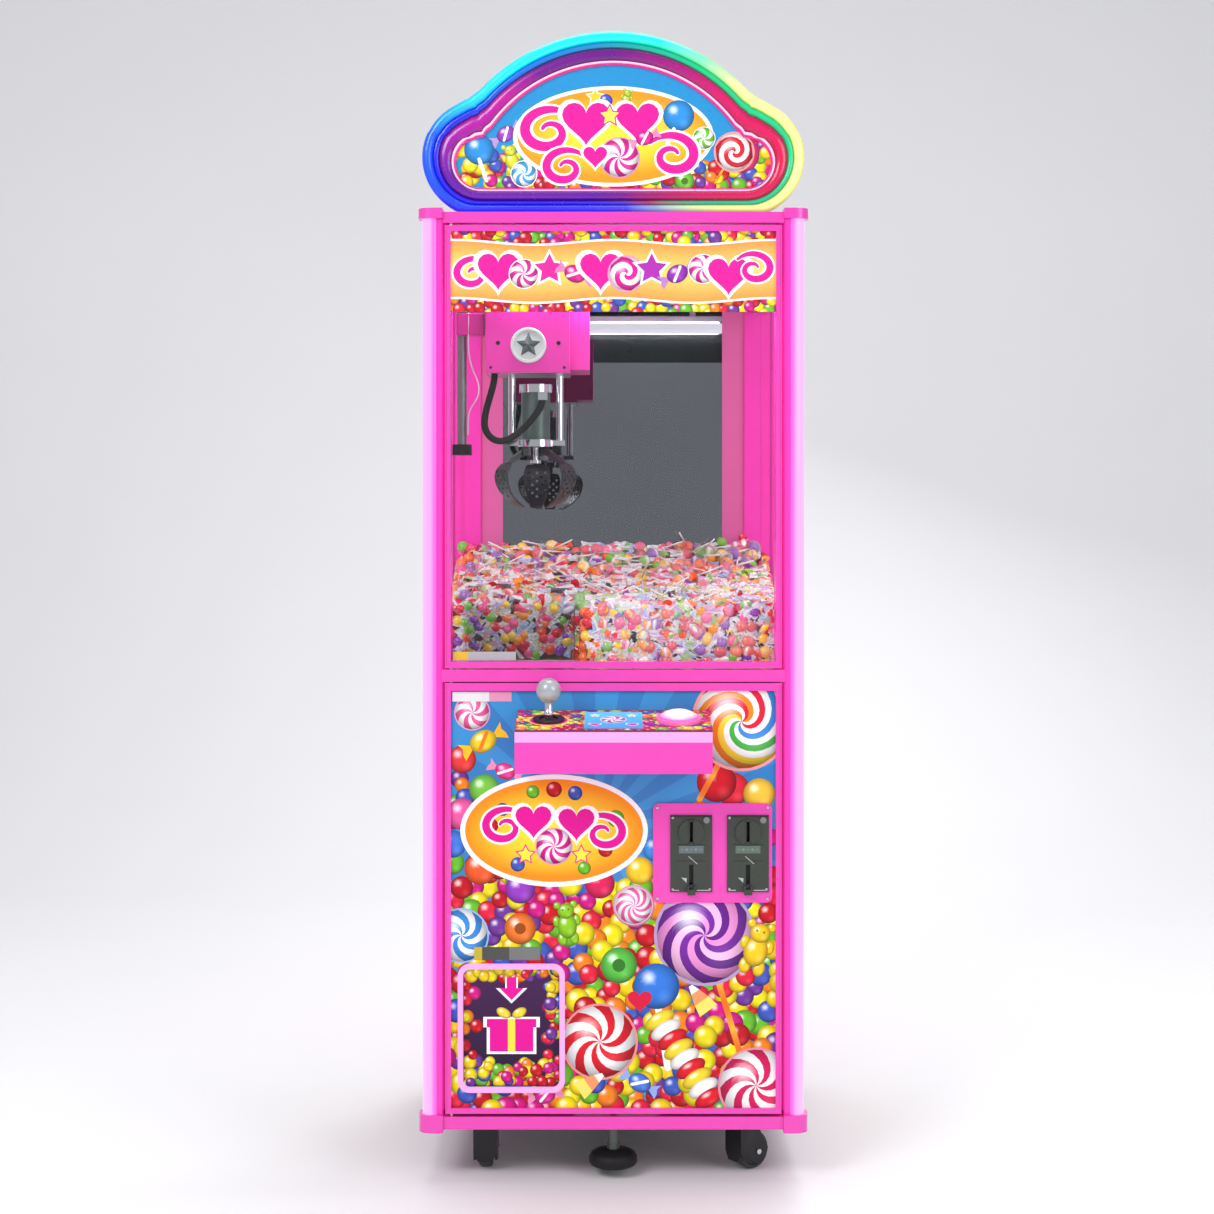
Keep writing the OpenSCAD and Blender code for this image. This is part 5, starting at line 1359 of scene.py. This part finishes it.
# rose strips along both edges of the mirror, their rose colour given a slight painted glow
M = Mesh()
for s in (-1, 1):
    a, b = sorted((s * 0.2110, s * 0.2528))
    rbox(M, (a, 0.3425, 0.995), (b, 0.3438, 1.500), (0.5, 0.1, 0.3), 0.0003)
M.build("mirror_edge_strips", ROSE, "cabinet", slot="pink_paint")
# plain stickers without lettering
gy = min(v.co.y for v in N["upper_door_glass"].data.vertices)
M, L = Mesh(), Mesh()
for x0, x1, z0, z1, y, c in ((-0.230, -0.217, 0.3675, 0.3890, F + 0.0050, (0.55, 0.42, 0.02)), (-0.217, -0.172, 0.3675, 0.3890, F + 0.0050, (0.055, 0.06, 0.05)), (-0.172, -0.121, 0.3675, 0.3890, F + 0.0050, (0.16, 0.17, 0.165)),
                             (-0.2660, -0.205, 0.7950, 0.8110, F + 0.0050, (0.80, 0.78, 0.80)), (-0.205, -0.168, 0.7950, 0.8110, F + 0.0050, (0.78, 0.30, 0.50))):
    rbox(M, (x0, y, z0), (x1, y + 0.0002, z1), c, 0.00005)
for x0, x1, z0, z1, c in ((-0.2650, -0.240, 0.8630, 0.8770, (0.72, 0.50, 0.03)), (-0.240, -0.161, 0.8630, 0.8770, (0.42, 0.42, 0.44))):
    rbox(L, (x0, gy - 0.0004, z0), (x1, gy - 0.0002, z1), c, 0.00005)
M.build("door_stickers", PLAINCOL, "lower_door", slot="grey_steel")
L.build("glass_stickers", PLAINCOL, "upper_door", slot="grey_steel")
# screws on the side panels, rear panel and sign case
M = Mesh()
for s in (-1, 1):
    for y in (-0.215, 0.057, 0.329):
        for z in (0.121, 0.816):
            screw(M, (s * 0.3083, y, z), 0.0042, axis="x", sgn=s, col=(0.55, 0.55, 0.57))
for x in (-0.262, -0.09, 0.09, 0.262):
    for z in (0.13, 0.47, 0.80, 0.90, 1.20, 1.56):
        screw(M, (x, B - 0.0059, z), 0.0042, sgn=1, col=(0.55, 0.55, 0.57))
for x, z in ((-0.25, 1.69), (0.25, 1.69), (-0.15, 1.63), (0.15, 1.63), (0.0, 1.88), (-0.17, 1.82), (0.17, 1.82)):
    screw(M, (x, F + 0.0902, z), 0.0042, sgn=1, col=(0.55, 0.55, 0.57))
M.build("panel_screws", STEEL, "cabinet", slot="zinc_steel")
# rear: a hatch frame with a lock
M = Mesh()
for a, b in (((-0.175, B - 0.0062, 0.44), (0.175, B - 0.0040, 0.445)), ((-0.175, B - 0.0062, 0.775), (0.175, B - 0.0040, 0.780)),
             ((-0.175, B - 0.0062, 0.445), (-0.170, B - 0.0040, 0.775)), ((0.170, B - 0.0062, 0.445), (0.175, B - 0.0040, 0.775))):
    rbox(M, a, b, (0.5, 0.1, 0.4), 0.0006)
M.build("rear_hatch_frame", PINK_D, "cabinet", slot="pink_paint")
M = Mesh()
vs, fs = lathe([(0, 0.003), (0.0085, 0.003), (0.0095, 0.002), (0.0095, -0.001)], 28)
M.add([(0.150 + x, B - 0.0058 + z, 0.61 + y) for x, y, z in vs], [f[::-1] for f in fs], SILVER)
rbox(M, (0.1494, B - 0.0030, 0.6045), (0.1506, B - 0.00265, 0.6155), (0.05, 0.05, 0.05), 0.0001)
M.build("rear_hatch_lock", STEEL, "cabinet", slot="zinc_steel")

# caster axle nuts
for i, (cx, cy, hd) in enumerate(((-0.215, F + 0.075, 90), (0.215, F + 0.075, 38), (-0.215, B - 0.075, 75), (0.215, B - 0.075, 120))):
    tag = ("fl", "fr", "rl", "rr")[i]
    M = Mesh()
    R = Matrix.Rotation(math.radians(hd), 3, "Z")
    for s in (-1, 1):
        vs, fs = lathe([(0, 0.0030), (0.0045, 0.0030), (0.0052, 0.0022), (0.0052, 0.0)], 6)
        pts = []
        for x, y, z in vs:
            p = R @ Vector((0.022 + x, s * (0.0200 + z), y))
            pts.append((cx + p.x, cy + p.y, 0.031 + p.z))
        M.add(pts, fs if s > 0 else [f[::-1] for f in fs], SILVER)
    o = M.build("caster_nuts_" + tag, STEEL, "caster_fork_" + tag, slot="zinc_steel")
    fix_normals(o)

# ---------------------------------------------------------------- floor, backdrop, light
def backdrop():
    vs, fs = [], []
    prof = [(-7.0, 0.0), (-3.0, 0.0), (0.0, 0.0), (2.4, 0.0)]
    for i in range(1, 13):
        a = math.pi / 2 * i / 12
        prof.append((2.4 + 2.2 * math.sin(a), 2.2 - 2.2 * math.cos(a)))
    prof.append((4.6, 9.0))
    for x in (-9.0, 9.0):
        for y, z in prof:
            vs.append((x, y, z - 0.0005))
    n = len(prof)
    fs = [(k, k + n, k + n + 1, k + 1) for k in range(n - 1)]
    return vs, fs


FLOOR = mat("studio_floor", (0.88, 0.88, 0.885), rough=0.55, scale=3, cvar=0.012)
vs, fs = backdrop()
me = bpy.data.meshes.new("studio_floor")
me.from_pydata(vs, [], fs)
me.materials.append(FLOOR)
me.polygons.foreach_set("use_smooth", [True] * len(me.polygons))
fl = bpy.data.objects.new("studio_floor", me)
scene.collection.objects.link(fl)

world = bpy.data.worlds.new("studio")
scene.world = world
world.use_nodes = True
wn = world.node_tree
bg = wn.nodes.get("Background") or wn.nodes.new("ShaderNodeBackground")
bg.inputs["Color"].default_value = (0.93, 0.95, 1.0, 1)
bg.inputs["Strength"].default_value = 0.50


def area(name, loc, target, size, power, color=(1, 1, 1), glossy=True):
    ld = bpy.data.lights.new(name, "AREA")
    ld.shape = "RECTANGLE"
    ld.size, ld.size_y = size
    ld.energy = power
    ld.color = color
    o = bpy.data.objects.new(name, ld)
    scene.collection.objects.link(o)
    o.location = loc
    o.rotation_euler = (Vector(target) - Vector(loc)).to_track_quat("-Z", "Y").to_euler()
    o.visible_glossy = glossy
    return o


area("key", (-2.2, -3.2, 3.4), (0, 0, 1.0), (1.8, 1.8), 88)
area("fill", (2.6, -2.8, 2.2), (0, 0, 0.9), (2.0, 2.0), 42)
area("top", (0, 0.3, 4.2), (0, 0, 1.0), (2.2, 2.2), 60)
area("back", (1.2, 3.4, 3.0), (0, 0, 1.1), (1.6, 1.6), 50)
area("front_low", (0, -4.4, 0.9), (0, 0, 0.7), (2.4, 1.0), 16, glossy=False)
# what the LED bar and the sign throw into the cabinet
led = area("cabinet_led", (0, F + 0.050, 1.500), (0, 0.06, 0.95), (0.42, 0.03), 2.2, (0.96, 0.98, 1.0), glossy=False)
